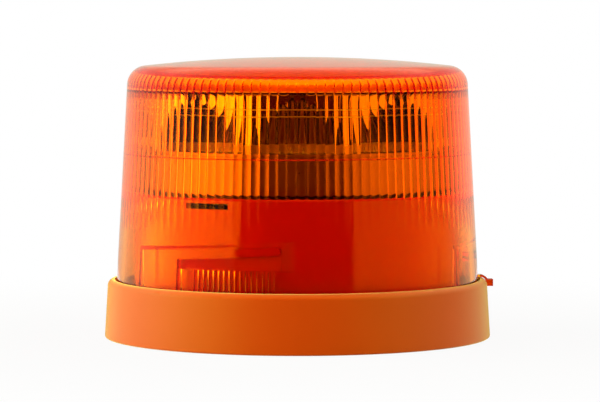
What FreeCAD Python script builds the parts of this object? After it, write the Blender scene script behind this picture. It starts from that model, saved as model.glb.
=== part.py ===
import FreeCAD, Part
import math
import os
from FreeCAD import Vector

# LED strobe beacon for three-bolt mounting, in millimetres and degrees.
# The origin is the centre of the underside, with +Z up and the front at -Y.
# Angles round the axis start at the front and grow towards +X.

# Base ring
BASE_HEIGHT = 25.0
BASE_DRAFT = 3.4
FLOOR_THICKNESS = 3.0
DECK_HEIGHT = 8.0
RIM_WALL = 2.9
RIM_FILLET = 2.8
LIP_FLAT = 0.2
LIP_HEIGHT = 3.0
FOOT_ROUND = 0.8
GASKET_WIDTH = 5.0
GASKET_DEPTH = 2.0
GASKET_LAND = 3.5
GASKET_CLEARANCE = 0.2

# Mounting bolts
BOLT_CIRCLE = 130.0
BOLT_COUNT = 3
BOLT_START = 60.0
INSERT_BORE = 2.5
INSERT_RADIUS = 4.5
INSERT_LENGTH = 7.0
INSERT_WALL = 3.0
INSERT_FIT = 0.02

# Dome
DOME_DRAFT = 3.18
DOME_WALL = 3.0
DOME_GAP = 0.9
SKIRT_CLEARANCE = 0.6
SHOULDER_RADIUS = 8.5
CROWN_RADIUS = 600.0
CROWN_HEADROOM = 10.0
SEAL_THICKNESS = 2.0
SEAL_MARGIN = 0.6
SEAL_CLEARANCE = 0.3

# Flutes inside the dome
FLUTE_COUNT = 120
UPPER_FLUTE_SAG = 0.70
LOWER_FLUTE_SAG = 0.62
SHOULDER_FLUTE_SAG = 0.55
FLUTE_OVERRUN = 1.0
FLUTE_JOIN = 0.02
SHOULDER_FLUTE_TURNS = (0.0, 22.0, 45.0)

# Bayonet, with the angles of the locked dome
BAYONET_COUNT = 3
FRAME_START = -60.0
FRAME_SPAN = 59.0
FRAME_RIB = 1.6
FRAME_STEP = 0.45
FRAME_CLEARANCE = 0.85
CHANNEL_SPAN = 17.6
STOP_SPAN = 4.0
LEDGE_BOTTOM = 33.6
LEDGE_START_HEIGHT = 4.0
LEDGE_RISE = 2.5
LEDGE_CLEARANCE = 0.9
LUG_SPAN = 16.2
LUG_HEIGHT = 3.2
LUG_REACH = 2.8
LUG_CLEARANCE = 0.95
LUG_GAP = 0.35
STOP_GAP = 0.5
HELIX_STEPS = 12
COMB_COUNT = 15
COMB_START = 7.0
COMB_END = 1.5
COMB_RIB = 1.4
COMB_DEPTH = 1.5
COMB_SEAT = 6.0

# Tab over the rim
TAB_ANGLE = 93.0
TAB_WIDTH = 5.0
TAB_THICKNESS = 0.9
TAB_CLEARANCE = 0.4
NUB_REACH = 2.0
NUB_HEIGHT = 2.9

# Inner tower
TOWER_RADIUS = 71.1
TOWER_HEIGHT = 55.2
TOWER_DRAFT = 0.6
TOWER_WALL = 2.5
TOWER_DECK = 2.0
TOWER_EDGE = 0.8
SLOT_ANGLE = -31.7
SLOT_WIDTH = 20.0
SLOT_HEIGHT = 2.4
SLOT_DROP = 0.2
LEAD_HOLE_RADIUS = 9.0
TOWER_SCREW_START = 0.0
TOWER_SCREW_COUNT = 3

# Light module
MODULE_RADIUS = 57.3
HEAT_SINK_OVERHANG = 0.7
HEAT_SINK_HEIGHT = 16.2
HEAT_SINK_PLATE = 2.5
HEAT_SINK_SKIRT = 2.5
HEAT_SINK_HUB = 5.0
FIN_COUNT = 24
FIN_THICKNESS = 1.6
FIN_GAP = 3.0
BOARD_THICKNESS = 1.6
LED_BOARD_INSET = 1.8
LED_COUNT = 8
LED_SIZE = 3.6
LED_HEIGHT = 0.9
LED_DOME_RADIUS = 1.5
REFLECTOR_HEIGHT = 25.0
REFLECTOR_FOCAL = 5.9
REFLECTOR_WALL = 1.8
REFLECTOR_STEP = 0.4
REFLECTOR_STEP_DROPS = (5.3, 8.0)
CAP_HEIGHT = 2.0
CAP_EDGE = 0.6
CAP_RECESS = 0.8
CAP_RIM = 6.0
MODULE_SCREW_CIRCLE = 80.0
MODULE_SCREW_COUNT = 4
MODULE_SCREW_START = 45.0
REFLECTOR_SCREW_COUNT = 4
REFLECTOR_SCREW_START = 22.5

# Screws, all of one size
SCREW_HEAD_RADIUS = 3.4
SCREW_HEAD_HEIGHT = 2.4
SCREW_SHANK_RADIUS = 1.9
SCREW_SOCKET_RADIUS = 1.5
SCREW_SOCKET_DEPTH = 1.4
SCREW_FIT = 0.1
SCREW_HEAD_FIT = 0.4
SCREW_GRIP = 10.0
SCREW_TIP_ROOM = 1.0
SCREW_SINK = 0.6
BOSS_WALL = 2.3

# Driver electronics
BOARD_POST_HEIGHT = 13.0
BOARD_POST_CIRCLE = 92.0
BOARD_MARGIN = 3.0
BOARD_SCREW_COUNT = 4
BOARD_SCREW_START = 45.0
INDUCTOR_RADIUS = 9.0
INDUCTOR_HEIGHT = 12.0
INDUCTOR_FLANGE = 2.0
INDUCTOR_WAIST = 2.0
INDUCTOR_PLACE = (30.0, 100.0)
CAPACITOR_RADIUS = 5.0
CAPACITOR_HEIGHT = 16.0
CAPACITOR_CRIMP = 0.6
CAPACITOR_PITCH = 11.5
CAPACITOR_COUNT = 3
CAPACITOR_PLACE = (33.0, -90.0)
TRANSISTOR_BODY = (6.6, 6.1, 2.3)
TRANSISTOR_TAB = 1.6
TRANSISTOR_TAB_THICKNESS = 0.5
TRANSISTOR_COUNT = 4
TRANSISTOR_PITCH = 9.0
TRANSISTOR_PLACE = (38.0, 0.0)
CHIP_BODY = (7.5, 10.3, 2.3)
CHIP_PIN_COUNT = 8
CHIP_PIN_PITCH = 1.27
CHIP_PIN = (1.4, 0.45, 0.6)
CHIP_PLACE = (22.0, 0.0)
TERMINAL_BODY = (15.0, 9.0, 10.0)
TERMINAL_WAYS = 3
TERMINAL_SCREW_RADIUS = 1.8
TERMINAL_SCREW_DEPTH = 3.0
TERMINAL_ENTRY = (3.2, 5.0, 3.4)
TERMINAL_ENTRY_HEIGHT = 1.4
TERMINAL_PLACE = (38.0, 180.0)
CONNECTOR_BODY = (10.0, 6.0, 7.0)
LEAD_RADIUS = 0.9
LEAD_PITCH = 4.0

# Cable inlet and vent in the floor
GROMMET_PLACE = (24.0, 180.0)
GROMMET_BORE = 3.5
GROMMET_NECK_RADIUS = 6.5
GROMMET_FLANGE = 2.5
GROMMET_LIP = 1.2
GROMMET_COLLAR = 1.5
GROMMET_SLEEVE = 3.5
GROMMET_FIT = 0.1
VENT_PLACE = (24.0, 0.0)
VENT_RADIUS = 4.0
VENT_FLANGE = 2.0
VENT_COLLAR = 1.5
VENT_DIMPLE = 2.2
VENT_SINK = 0.4
VENT_FIT = 0.05

# Heights and radii that follow from the driving dimensions
TOWER_TOP = DECK_HEIGHT + TOWER_HEIGHT
TOWER_CEILING = TOWER_TOP - TOWER_DECK
HEAT_SINK_TOP = TOWER_TOP + HEAT_SINK_HEIGHT
LED_BOARD_TOP = HEAT_SINK_TOP + BOARD_THICKNESS
REFLECTOR_TOP = LED_BOARD_TOP + REFLECTOR_HEIGHT
CAP_TOP = REFLECTOR_TOP + CAP_HEIGHT
DOME_APEX = CAP_TOP + CROWN_HEADROOM + DOME_WALL
SKIRT_BOTTOM = DECK_HEIGHT + SEAL_THICKNESS + SEAL_CLEARANCE
FLUTE_TOP = REFLECTOR_TOP + FLUTE_OVERRUN
BOARD_TOP = FLOOR_THICKNESS + BOARD_POST_HEIGHT + BOARD_THICKNESS
BOSS_RADIUS = SCREW_SHANK_RADIUS + SCREW_FIT + BOSS_WALL
CUP_HALF_ANGLE = 180.0 / LED_COUNT
CUP_MOUTH = MODULE_RADIUS * math.sin(math.radians(CUP_HALF_ANGLE))
CUP_VERTEX = MODULE_RADIUS - CUP_MOUTH ** 2 / (4.0 * REFLECTOR_FOCAL)
LED_CIRCLE = CUP_VERTEX + REFLECTOR_FOCAL
REFLECTOR_BOSS_RADIUS = SCREW_HEAD_RADIUS + SCREW_HEAD_FIT + REFLECTOR_WALL
REFLECTOR_SCREW_CIRCLE = CUP_VERTEX - REFLECTOR_WALL - REFLECTOR_BOSS_RADIUS
REFLECTOR_BORE = REFLECTOR_SCREW_CIRCLE - REFLECTOR_BOSS_RADIUS
DECK_INNER_RADIUS = BOLT_CIRCLE / 2.0 - INSERT_RADIUS - INSERT_WALL
TOWER_INNER_RADIUS = TOWER_RADIUS - TOWER_WALL
TOWER_LEAN = TOWER_HEIGHT * math.tan(math.radians(TOWER_DRAFT))
TOWER_SCREW_CIRCLE = TOWER_INNER_RADIUS - TOWER_LEAN - BOSS_RADIUS / 2.0


def tower_radius(z):
    return TOWER_RADIUS - (z - DECK_HEIGHT) * math.tan(math.radians(TOWER_DRAFT))


# The dome's wall leaves room for the tower's lugs at the ledge's height
LEDGE_TOP = LEDGE_BOTTOM + LEDGE_START_HEIGHT + LEDGE_RISE
LUG_OUTER_RADIUS = tower_radius(LEDGE_TOP) + LUG_REACH
DOME_NORMAL = (math.cos(math.radians(DOME_DRAFT)), math.sin(math.radians(DOME_DRAFT)))
DOME_WALL_LEVEL = (LUG_OUTER_RADIUS + LUG_CLEARANCE) + LEDGE_TOP * math.tan(math.radians(DOME_DRAFT))


def dome_inner(z):
    return DOME_WALL_LEVEL - z * math.tan(math.radians(DOME_DRAFT))


def dome_outer(z):
    return dome_inner(z) + DOME_WALL / DOME_NORMAL[0]


LIP_RADIUS = dome_outer(BASE_HEIGHT) + DOME_GAP
WELL_RADIUS = dome_outer(SKIRT_BOTTOM) + SKIRT_CLEARANCE


def base_outer(z):
    return LIP_RADIUS + RIM_WALL + (BASE_HEIGHT - z) * math.tan(math.radians(BASE_DRAFT))


# Angles of the bayonet, of its first set
LEDGE_START = FRAME_START + CHANNEL_SPAN + math.degrees(FRAME_RIB / dome_inner(LEDGE_TOP))
FRAME_END = FRAME_START + FRAME_SPAN
STOP_START = FRAME_END - STOP_SPAN
LEDGE_SPAN = STOP_START - LEDGE_START
LUG_START = STOP_START - STOP_GAP - LUG_SPAN


def ledge_height(angle):
    return LEDGE_BOTTOM + LEDGE_START_HEIGHT + LEDGE_RISE * (angle - LEDGE_START) / LEDGE_SPAN


# Geometry helpers

def at(radius, angle, z=0.0):
    turn = math.radians(angle - 90.0)
    return Vector(radius * math.cos(turn), radius * math.sin(turn), z)


def turned(shape, angle):
    copy = shape.copy()
    copy.rotate(Vector(0, 0, 0), Vector(0, 0, 1), angle)
    return copy


def ring_of(shape, count, start=0.0):
    return [turned(shape, start + i * 360.0 / count) for i in range(count)]


def profile(*steps):
    """Close an outline in the XZ plane: a pair is a straight step, four numbers an arc through a point."""
    here = Vector(steps[0][0], 0, steps[0][1])
    first = here
    edges = []
    for step in steps[1:]:
        end = Vector(step[-2], 0, step[-1])
        if len(step) == 4:
            edges.append(Part.Arc(here, Vector(step[0], 0, step[1]), end).toShape())
        else:
            edges.append(Part.makeLine(here, end))
        here = end
    edges.append(Part.makeLine(here, first))
    return Part.Face(Part.Wire(edges))


def revolved(face, start=0.0, span=360.0):
    solid = face.revolve(Vector(0, 0, 0), Vector(0, 0, 1), span)
    return turned(solid, start - 90.0)


def rectangle(r_in, r_out, low, high):
    return profile((r_in, low), (r_out, low), (r_out, high), (r_in, high))


def tube(r_in, r_out, low, high):
    return revolved(rectangle(r_in, r_out, low, high))


def sector(r_in, r_out, low, high, start, span):
    return revolved(rectangle(r_in, r_out, low, high), start, span)


def disc(radius, low, high, centre=Vector(0, 0, 0)):
    return Part.makeCylinder(radius, high - low, Vector(centre.x, centre.y, low))


def block(size, place, angle, low, shift=0.0):
    """A box whose width runs round the axis, centred at a place, with a shift along its width."""
    width, depth, height = size
    box = Part.makeBox(width, depth, height, Vector(shift - width / 2.0, -place - depth / 2.0, low))
    return turned(box, angle)


def helical_bar(r_in, r_out, start, span, low, high):
    """A bar round the axis whose underside and top follow the heights that low and high give."""
    sections = []
    for i in range(HELIX_STEPS + 1):
        angle = start + span * i / HELIX_STEPS
        corners = [
            at(r_in, angle, low(angle)),
            at(r_out, angle, low(angle)),
            at(r_out, angle, high(angle)),
            at(r_in, angle, high(angle)),
        ]
        sections.append(Part.makePolygon(corners + corners[:1]))
    return Part.makeLoft(sections, True, True)


def arc_point(centre, radius, angle):
    turn = math.radians(angle)
    return (centre[0] + radius * math.cos(turn), centre[1] + radius * math.sin(turn))


def screw(place, angle, seat, length, up):
    """A pan-head screw whose head bears on the seat height and whose shank points up or down."""
    head = disc(SCREW_HEAD_RADIUS, -SCREW_HEAD_HEIGHT, 0.0)
    socket = disc(SCREW_SOCKET_RADIUS, -SCREW_HEAD_HEIGHT, SCREW_SOCKET_DEPTH - SCREW_HEAD_HEIGHT)
    shank = disc(SCREW_SHANK_RADIUS, 0.0, length)
    body = head.fuse(shank).removeSplitter().cut(socket)
    if not up:
        body.rotate(Vector(0, 0, 0), Vector(1, 0, 0), 180.0)
    body.translate(at(place, 0.0, seat))
    return turned(body, angle)


def screw_ring(circle, count, start, seat, length, up):
    first = screw(circle / 2.0, start, seat, length, up)
    return Part.makeCompound(ring_of(first, count))


def hole_ring(radius, circle, count, start, low, high):
    first = disc(radius, low, high, at(circle / 2.0, start))
    return ring_of(first, count)


# Base and its mounting

TOWER_SCREW_SEAT = SCREW_SINK + SCREW_HEAD_HEIGHT
TOWER_SCREW_LENGTH = DECK_HEIGHT - TOWER_SCREW_SEAT + SCREW_GRIP


def base_outline():
    fillet = min(RIM_FILLET, RIM_WALL - LIP_FLAT)
    slope = math.radians(BASE_DRAFT)
    centre_z = BASE_HEIGHT - fillet
    centre_r = base_outer(centre_z) - fillet / math.cos(slope)
    centre = (centre_r, centre_z)
    foot = (base_outer(0.0) - FOOT_ROUND, FOOT_ROUND)
    rim_start = arc_point(centre, fillet, BASE_DRAFT)
    rim_mid = arc_point(centre, fillet, (BASE_DRAFT + 90.0) / 2.0)
    foot_mid = arc_point(foot, FOOT_ROUND, -45.0)
    return profile(
        (0.0, 0.0),
        (foot[0], 0.0),
        foot_mid + (base_outer(FOOT_ROUND), FOOT_ROUND),
        rim_start,
        rim_mid + (centre_r, BASE_HEIGHT),
        (LIP_RADIUS, BASE_HEIGHT),
        (LIP_RADIUS, BASE_HEIGHT - LIP_HEIGHT),
        (WELL_RADIUS, BASE_HEIGHT - LIP_HEIGHT),
        (WELL_RADIUS, DECK_HEIGHT),
        (DECK_INNER_RADIUS, DECK_HEIGHT),
        (DECK_INNER_RADIUS, FLOOR_THICKNESS),
        (0.0, FLOOR_THICKNESS),
    )


GASKET_OUTER = base_outer(0.0) - GASKET_LAND


def base_housing():
    body = revolved(base_outline())
    posts = hole_ring(BOSS_RADIUS, BOARD_POST_CIRCLE, BOARD_SCREW_COUNT, BOARD_SCREW_START,
                      0.0, FLOOR_THICKNESS + BOARD_POST_HEIGHT)
    body = body.fuse(posts).removeSplitter()
    cuts = [tube(GASKET_OUTER - GASKET_WIDTH, GASKET_OUTER, 0.0, GASKET_DEPTH)]
    cuts += hole_ring(INSERT_RADIUS + INSERT_FIT, BOLT_CIRCLE, BOLT_COUNT, BOLT_START, 0.0, INSERT_LENGTH)
    tower_circle = 2.0 * TOWER_SCREW_CIRCLE
    cuts += hole_ring(SCREW_SHANK_RADIUS + SCREW_FIT, tower_circle, TOWER_SCREW_COUNT, TOWER_SCREW_START,
                      0.0, DECK_HEIGHT)
    cuts += hole_ring(SCREW_HEAD_RADIUS + SCREW_HEAD_FIT, tower_circle, TOWER_SCREW_COUNT, TOWER_SCREW_START,
                      0.0, TOWER_SCREW_SEAT)
    post_top = FLOOR_THICKNESS + BOARD_POST_HEIGHT
    cuts += hole_ring(SCREW_SHANK_RADIUS + SCREW_FIT, BOARD_POST_CIRCLE, BOARD_SCREW_COUNT, BOARD_SCREW_START,
                      post_top - SCREW_GRIP - SCREW_TIP_ROOM, post_top)
    inlet = at(*GROMMET_PLACE)
    cuts.append(disc(GROMMET_NECK_RADIUS + GROMMET_FIT, 0.0, FLOOR_THICKNESS, inlet))
    flange = GROMMET_NECK_RADIUS + GROMMET_FLANGE
    cuts.append(disc(flange + GROMMET_FIT, 0.0, GROMMET_LIP, inlet))
    cuts.append(disc(VENT_RADIUS + VENT_FIT, 0.0, FLOOR_THICKNESS, at(*VENT_PLACE)))
    return body.cut(cuts)


def base_gasket():
    inner = GASKET_OUTER - GASKET_WIDTH + GASKET_CLEARANCE
    return tube(inner, GASKET_OUTER - GASKET_CLEARANCE, 0.0, GASKET_DEPTH)


def mounting_inserts():
    sleeve = tube(INSERT_BORE, INSERT_RADIUS, 0.0, INSERT_LENGTH)
    sleeve.translate(at(BOLT_CIRCLE / 2.0, BOLT_START))
    return Part.makeCompound(ring_of(sleeve, BOLT_COUNT))


def cable_grommet():
    flange = GROMMET_NECK_RADIUS + GROMMET_FLANGE
    collar = FLOOR_THICKNESS + GROMMET_COLLAR
    sleeve = (GROMMET_BORE + GROMMET_NECK_RADIUS) / 2.0
    body = revolved(profile(
        (GROMMET_BORE, 0.0),
        (flange, 0.0),
        (flange, GROMMET_LIP),
        (GROMMET_NECK_RADIUS, GROMMET_LIP),
        (GROMMET_NECK_RADIUS, FLOOR_THICKNESS),
        (flange, FLOOR_THICKNESS),
        (GROMMET_NECK_RADIUS, collar),
        (sleeve, collar + GROMMET_SLEEVE),
        (GROMMET_BORE, collar + GROMMET_SLEEVE),
    ))
    body.translate(at(*GROMMET_PLACE))
    return body


def vent_plug():
    flange = VENT_RADIUS + VENT_FLANGE
    collar = FLOOR_THICKNESS + VENT_COLLAR
    body = revolved(profile(
        (0.0, VENT_SINK),
        (VENT_RADIUS, VENT_SINK),
        (VENT_RADIUS, FLOOR_THICKNESS),
        (flange, FLOOR_THICKNESS),
        (VENT_RADIUS, collar),
        (VENT_DIMPLE, collar),
        (VENT_DIMPLE, FLOOR_THICKNESS),
        (0.0, FLOOR_THICKNESS),
    ))
    body.translate(at(*VENT_PLACE))
    return body


def dome_seal():
    inner = dome_inner(SKIRT_BOTTOM) - SEAL_MARGIN
    outer = dome_outer(SKIRT_BOTTOM)
    return tube(inner, outer, DECK_HEIGHT, DECK_HEIGHT + SEAL_THICKNESS)


# Dome

def shoulder_centre():
    """Centre of the shoulder's fillet, tangent to the drafted wall and to the crown's sphere."""
    crown_z = DOME_APEX - CROWN_RADIUS
    reach = CROWN_RADIUS - SHOULDER_RADIUS
    wall_r = dome_outer(crown_z) - SHOULDER_RADIUS / DOME_NORMAL[0]
    along = (-DOME_NORMAL[1], DOME_NORMAL[0])
    middle = -wall_r * along[0]
    rise = middle + math.sqrt(middle ** 2 - wall_r ** 2 + reach ** 2)
    return (wall_r + rise * along[0], crown_z + rise * along[1])


def dome_outline(inset, bottom):
    """Half section of the dome's outside, or of its inside where inset is the wall's thickness."""
    centre = shoulder_centre()
    fillet = SHOULDER_RADIUS - inset
    sphere = CROWN_RADIUS - inset
    crown_z = DOME_APEX - CROWN_RADIUS
    crown_angle = math.degrees(math.atan2(centre[1] - crown_z, centre[0]))
    wall = dome_outer(bottom) - inset / DOME_NORMAL[0]
    shoulder_start = arc_point(centre, fillet, DOME_DRAFT)
    shoulder_mid = arc_point(centre, fillet, (DOME_DRAFT + crown_angle) / 2.0)
    shoulder_end = arc_point(centre, fillet, crown_angle)
    crown_mid = arc_point((0.0, crown_z), sphere, (crown_angle + 90.0) / 2.0)
    return profile(
        (0.0, bottom),
        (wall, bottom),
        shoulder_start,
        shoulder_mid + shoulder_end,
        crown_mid + (0.0, crown_z + sphere),
    )


def flute_wire(radius, sag, z):
    """A closed row of arcs that bulge towards the axis."""
    pitch = 360.0 / FLUTE_COUNT
    edges = []
    for i in range(FLUTE_COUNT):
        crest = at(radius - sag, (i + 0.5) * pitch, z)
        edges.append(Part.Arc(at(radius, i * pitch, z), crest, at(radius, (i + 1) * pitch, z)).toShape())
    return Part.Wire(edges)


def flute_core(levels, sag):
    """The hollow inside a band of flutes, from pairs of wall radius and height."""
    wires = [flute_wire(radius, sag, z) for radius, z in levels]
    return Part.makeLoft(wires, True, True)


def dome_hollow():
    """The pieces of the dome's hollow: smooth skirt, two fluted bands, fluted shoulder and smooth crown."""
    inside = revolved(dome_outline(DOME_WALL, SKIRT_BOTTOM))
    reach = 2.0 * base_outer(0.0)
    corner = Vector(-reach / 2.0, -reach / 2.0, 0.0)
    centre = shoulder_centre()
    fillet = SHOULDER_RADIUS - DOME_WALL
    shoulder = [arc_point(centre, fillet, DOME_DRAFT + turn) for turn in SHOULDER_FLUTE_TURNS]
    shoulder_top = shoulder[-1][1]
    skirt_box = Part.makeBox(reach, reach, TOWER_TOP, corner)
    crown_box = Part.makeBox(reach, reach, DOME_APEX, corner + Vector(0, 0, shoulder_top))
    lower = [(dome_inner(z), z) for z in (TOWER_TOP - FLUTE_JOIN, HEAT_SINK_TOP)]
    upper = [(dome_inner(z), z) for z in (HEAT_SINK_TOP - FLUTE_JOIN, FLUTE_TOP + FLUTE_JOIN)]
    turn = [(dome_inner(FLUTE_TOP), FLUTE_TOP)] + shoulder
    return [
        inside.common(skirt_box),
        flute_core(lower, LOWER_FLUTE_SAG),
        flute_core(upper, UPPER_FLUTE_SAG),
        flute_core(turn, SHOULDER_FLUTE_SAG),
        inside.common(crown_box),
    ]


def bayonet_set():
    """One bayonet: ledge with its ramp, stop, shallow frame round the lug's way, and the comb below."""
    mid = (SKIRT_BOTTOM + LEDGE_TOP) / 2.0
    root = dome_inner(mid) + DOME_WALL / 2.0
    ledge_in = tower_radius(LEDGE_BOTTOM) + LEDGE_CLEARANCE
    frame_in = LUG_OUTER_RADIUS + FRAME_CLEARANCE - FRAME_STEP
    roof_gap = LUG_HEIGHT + 2.0 * LUG_GAP
    rib_span = math.degrees(FRAME_RIB / frame_in)
    comb_span = math.degrees(COMB_RIB / frame_in)
    comb_in = dome_inner(LEDGE_BOTTOM) - COMB_DEPTH

    def ledge_floor(angle):
        return LEDGE_BOTTOM

    def roof_low(angle):
        return ledge_height(angle) + roof_gap

    def roof_high(angle):
        return roof_low(angle) + FRAME_RIB

    pieces = [
        helical_bar(ledge_in, root, LEDGE_START, LEDGE_SPAN, ledge_floor, ledge_height),
        helical_bar(frame_in, root, FRAME_START, FRAME_SPAN, roof_low, roof_high),
        sector(ledge_in, root, LEDGE_BOTTOM, roof_high(STOP_START), STOP_START, STOP_SPAN),
        sector(frame_in, root, SKIRT_BOTTOM, roof_high(FRAME_START), FRAME_START, rib_span),
        sector(comb_in, root, SKIRT_BOTTOM, LEDGE_BOTTOM, LEDGE_START, rib_span),
    ]
    first = LEDGE_START + COMB_START
    pitch = (STOP_START - COMB_END - first) / COMB_COUNT
    for i in range(COMB_COUNT):
        rib = sector(comb_in, root, SKIRT_BOTTOM + COMB_SEAT, LEDGE_BOTTOM, first + i * pitch, comb_span)
        pieces.append(rib)
    return pieces


def rim_tab():
    """The tab that reaches from the dome over the base's rim and ends in a nub."""
    fillet = min(RIM_FILLET, RIM_WALL - LIP_FLAT)
    centre_z = BASE_HEIGHT - fillet
    centre = (base_outer(centre_z) - fillet / math.cos(math.radians(BASE_DRAFT)), centre_z)
    inner = fillet + TAB_CLEARANCE
    outer = inner + TAB_THICKNESS
    root = dome_outer(BASE_HEIGHT) - DOME_WALL / 2.0
    nub_top = arc_point(centre, outer, 30.0)
    nub_low = nub_top[1] - NUB_HEIGHT
    face = profile(
        (root, centre[1] + inner),
        (centre[0], centre[1] + inner),
        arc_point(centre, inner, 45.0) + (centre[0] + inner, centre[1]),
        (base_outer(nub_low) + TAB_CLEARANCE, nub_low),
        (nub_top[0] + NUB_REACH, nub_low),
        (nub_top[0] + NUB_REACH, nub_top[1]),
        nub_top,
        arc_point(centre, outer, 60.0) + (centre[0], centre[1] + outer),
        (root, centre[1] + outer),
    )
    span = math.degrees(TAB_WIDTH / base_outer(BASE_HEIGHT))
    return revolved(face, TAB_ANGLE - span / 2.0, span)


def dome_lens():
    body = revolved(dome_outline(0.0, SKIRT_BOTTOM))
    body = body.cut(dome_hollow())
    extras = [rim_tab()]
    for piece in bayonet_set():
        extras += ring_of(piece, BAYONET_COUNT)
    return body.fuse(extras).removeSplitter()


# Inner tower

def bayonet_lug():
    """A lug with round ends, which lies along the ledge's ramp and just above it."""
    middle = LUG_START + LUG_SPAN / 2.0
    end = LUG_OUTER_RADIUS * math.sin(math.radians(LUG_SPAN / 2.0))
    half = LUG_HEIGHT / 2.0
    straight = end - half
    outline = [
        Part.makeLine(Vector(-straight, 0, -half), Vector(straight, 0, -half)),
        Part.Arc(Vector(straight, 0, -half), Vector(end, 0, 0), Vector(straight, 0, half)).toShape(),
        Part.makeLine(Vector(straight, 0, half), Vector(-straight, 0, half)),
        Part.Arc(Vector(-straight, 0, half), Vector(-end, 0, 0), Vector(-straight, 0, -half)).toShape(),
    ]
    bar = Part.Face(Part.Wire(outline)).extrude(Vector(0, -LUG_OUTER_RADIUS - LUG_HEIGHT, 0))
    climb = LEDGE_RISE / (math.radians(LEDGE_SPAN) * LUG_OUTER_RADIUS)
    bar.rotate(Vector(0, 0, 0), Vector(0, 1, 0), -math.degrees(math.atan(climb)))
    bar.translate(Vector(0, 0, ledge_height(middle) + LUG_GAP + half))
    root = tower_radius(LEDGE_TOP) - TOWER_WALL / 2.0
    return turned(bar, middle).common(tube(root, LUG_OUTER_RADIUS, LEDGE_BOTTOM, TOWER_TOP))


def tower_housing():
    top = tower_radius(TOWER_TOP)
    inner_top = tower_radius(TOWER_CEILING) - TOWER_WALL
    body = revolved(profile(
        (TOWER_INNER_RADIUS, DECK_HEIGHT),
        (TOWER_RADIUS, DECK_HEIGHT),
        (tower_radius(TOWER_TOP - TOWER_EDGE), TOWER_TOP - TOWER_EDGE),
        (top - TOWER_EDGE, TOWER_TOP),
        (LEAD_HOLE_RADIUS, TOWER_TOP),
        (LEAD_HOLE_RADIUS, TOWER_CEILING),
        (inner_top, TOWER_CEILING),
    ))
    bosses = hole_ring(BOSS_RADIUS, 2.0 * TOWER_SCREW_CIRCLE, TOWER_SCREW_COUNT, TOWER_SCREW_START,
                       DECK_HEIGHT, DECK_HEIGHT + SCREW_GRIP + 2.0 * SCREW_TIP_ROOM)
    body = body.fuse(bosses + ring_of(bayonet_lug(), BAYONET_COUNT)).removeSplitter()
    slot_span = math.degrees(SLOT_WIDTH / top)
    slot_top = TOWER_CEILING - SLOT_DROP
    slot = sector(inner_top - TOWER_WALL, top + TOWER_WALL, slot_top - SLOT_HEIGHT, slot_top,
                  SLOT_ANGLE - slot_span / 2.0, slot_span)
    cuts = ring_of(slot, BAYONET_COUNT)
    cuts += hole_ring(SCREW_SHANK_RADIUS + SCREW_FIT, 2.0 * TOWER_SCREW_CIRCLE, TOWER_SCREW_COUNT,
                      TOWER_SCREW_START, DECK_HEIGHT, DECK_HEIGHT + SCREW_GRIP + SCREW_TIP_ROOM)
    cuts += hole_ring(SCREW_SHANK_RADIUS + SCREW_FIT, MODULE_SCREW_CIRCLE, MODULE_SCREW_COUNT,
                      MODULE_SCREW_START, TOWER_CEILING, TOWER_TOP)
    return body.cut(cuts)


# Light module

def heat_sink():
    outer = MODULE_RADIUS + HEAT_SINK_OVERHANG
    plate = HEAT_SINK_TOP - HEAT_SINK_PLATE
    skirt_in = outer - HEAT_SINK_SKIRT
    hub = LEAD_HOLE_RADIUS + HEAT_SINK_HUB
    body = revolved(profile(
        (LEAD_HOLE_RADIUS, TOWER_TOP),
        (hub, TOWER_TOP),
        (hub, plate),
        (skirt_in, plate),
        (skirt_in, TOWER_TOP),
        (outer, TOWER_TOP),
        (outer, HEAT_SINK_TOP),
        (LEAD_HOLE_RADIUS, HEAT_SINK_TOP),
    ))
    length = skirt_in - hub + HEAT_SINK_SKIRT
    fin = block((FIN_THICKNESS, length, plate - TOWER_TOP - FIN_GAP), (hub + skirt_in) / 2.0, 0.0,
                TOWER_TOP + FIN_GAP)
    extras = ring_of(fin, FIN_COUNT)
    extras += hole_ring(BOSS_RADIUS, MODULE_SCREW_CIRCLE, MODULE_SCREW_COUNT, MODULE_SCREW_START,
                        TOWER_TOP, HEAT_SINK_TOP)
    extras += hole_ring(BOSS_RADIUS, 2.0 * REFLECTOR_SCREW_CIRCLE, REFLECTOR_SCREW_COUNT,
                        REFLECTOR_SCREW_START, TOWER_TOP, HEAT_SINK_TOP)
    body = body.fuse(extras).removeSplitter()
    pilot = SCREW_SHANK_RADIUS + SCREW_FIT
    cuts = hole_ring(pilot, MODULE_SCREW_CIRCLE, MODULE_SCREW_COUNT, MODULE_SCREW_START,
                     TOWER_TOP, TOWER_TOP + SCREW_GRIP + SCREW_TIP_ROOM)
    cuts += hole_ring(pilot, 2.0 * REFLECTOR_SCREW_CIRCLE, REFLECTOR_SCREW_COUNT, REFLECTOR_SCREW_START,
                      HEAT_SINK_TOP - SCREW_GRIP - SCREW_TIP_ROOM, HEAT_SINK_TOP)
    return body.cut(cuts)


def led_board():
    body = disc(MODULE_RADIUS - LED_BOARD_INSET, HEAT_SINK_TOP, LED_BOARD_TOP)
    holes = hole_ring(SCREW_SHANK_RADIUS + SCREW_FIT, 2.0 * REFLECTOR_SCREW_CIRCLE, REFLECTOR_SCREW_COUNT,
                      REFLECTOR_SCREW_START, HEAT_SINK_TOP, LED_BOARD_TOP)
    return body.cut(holes)


def led_packages():
    package = block((LED_SIZE, LED_SIZE, LED_HEIGHT), LED_CIRCLE, 0.0, LED_BOARD_TOP)
    return Part.makeCompound(ring_of(package, LED_COUNT))


def led_domes():
    top = LED_BOARD_TOP + LED_HEIGHT
    dome = Part.makeSphere(LED_DOME_RADIUS, at(LED_CIRCLE, 0.0, top), Vector(0, 0, 1), 0.0, 90.0, 360.0)
    return Part.makeCompound(ring_of(dome, LED_COUNT))


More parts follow.
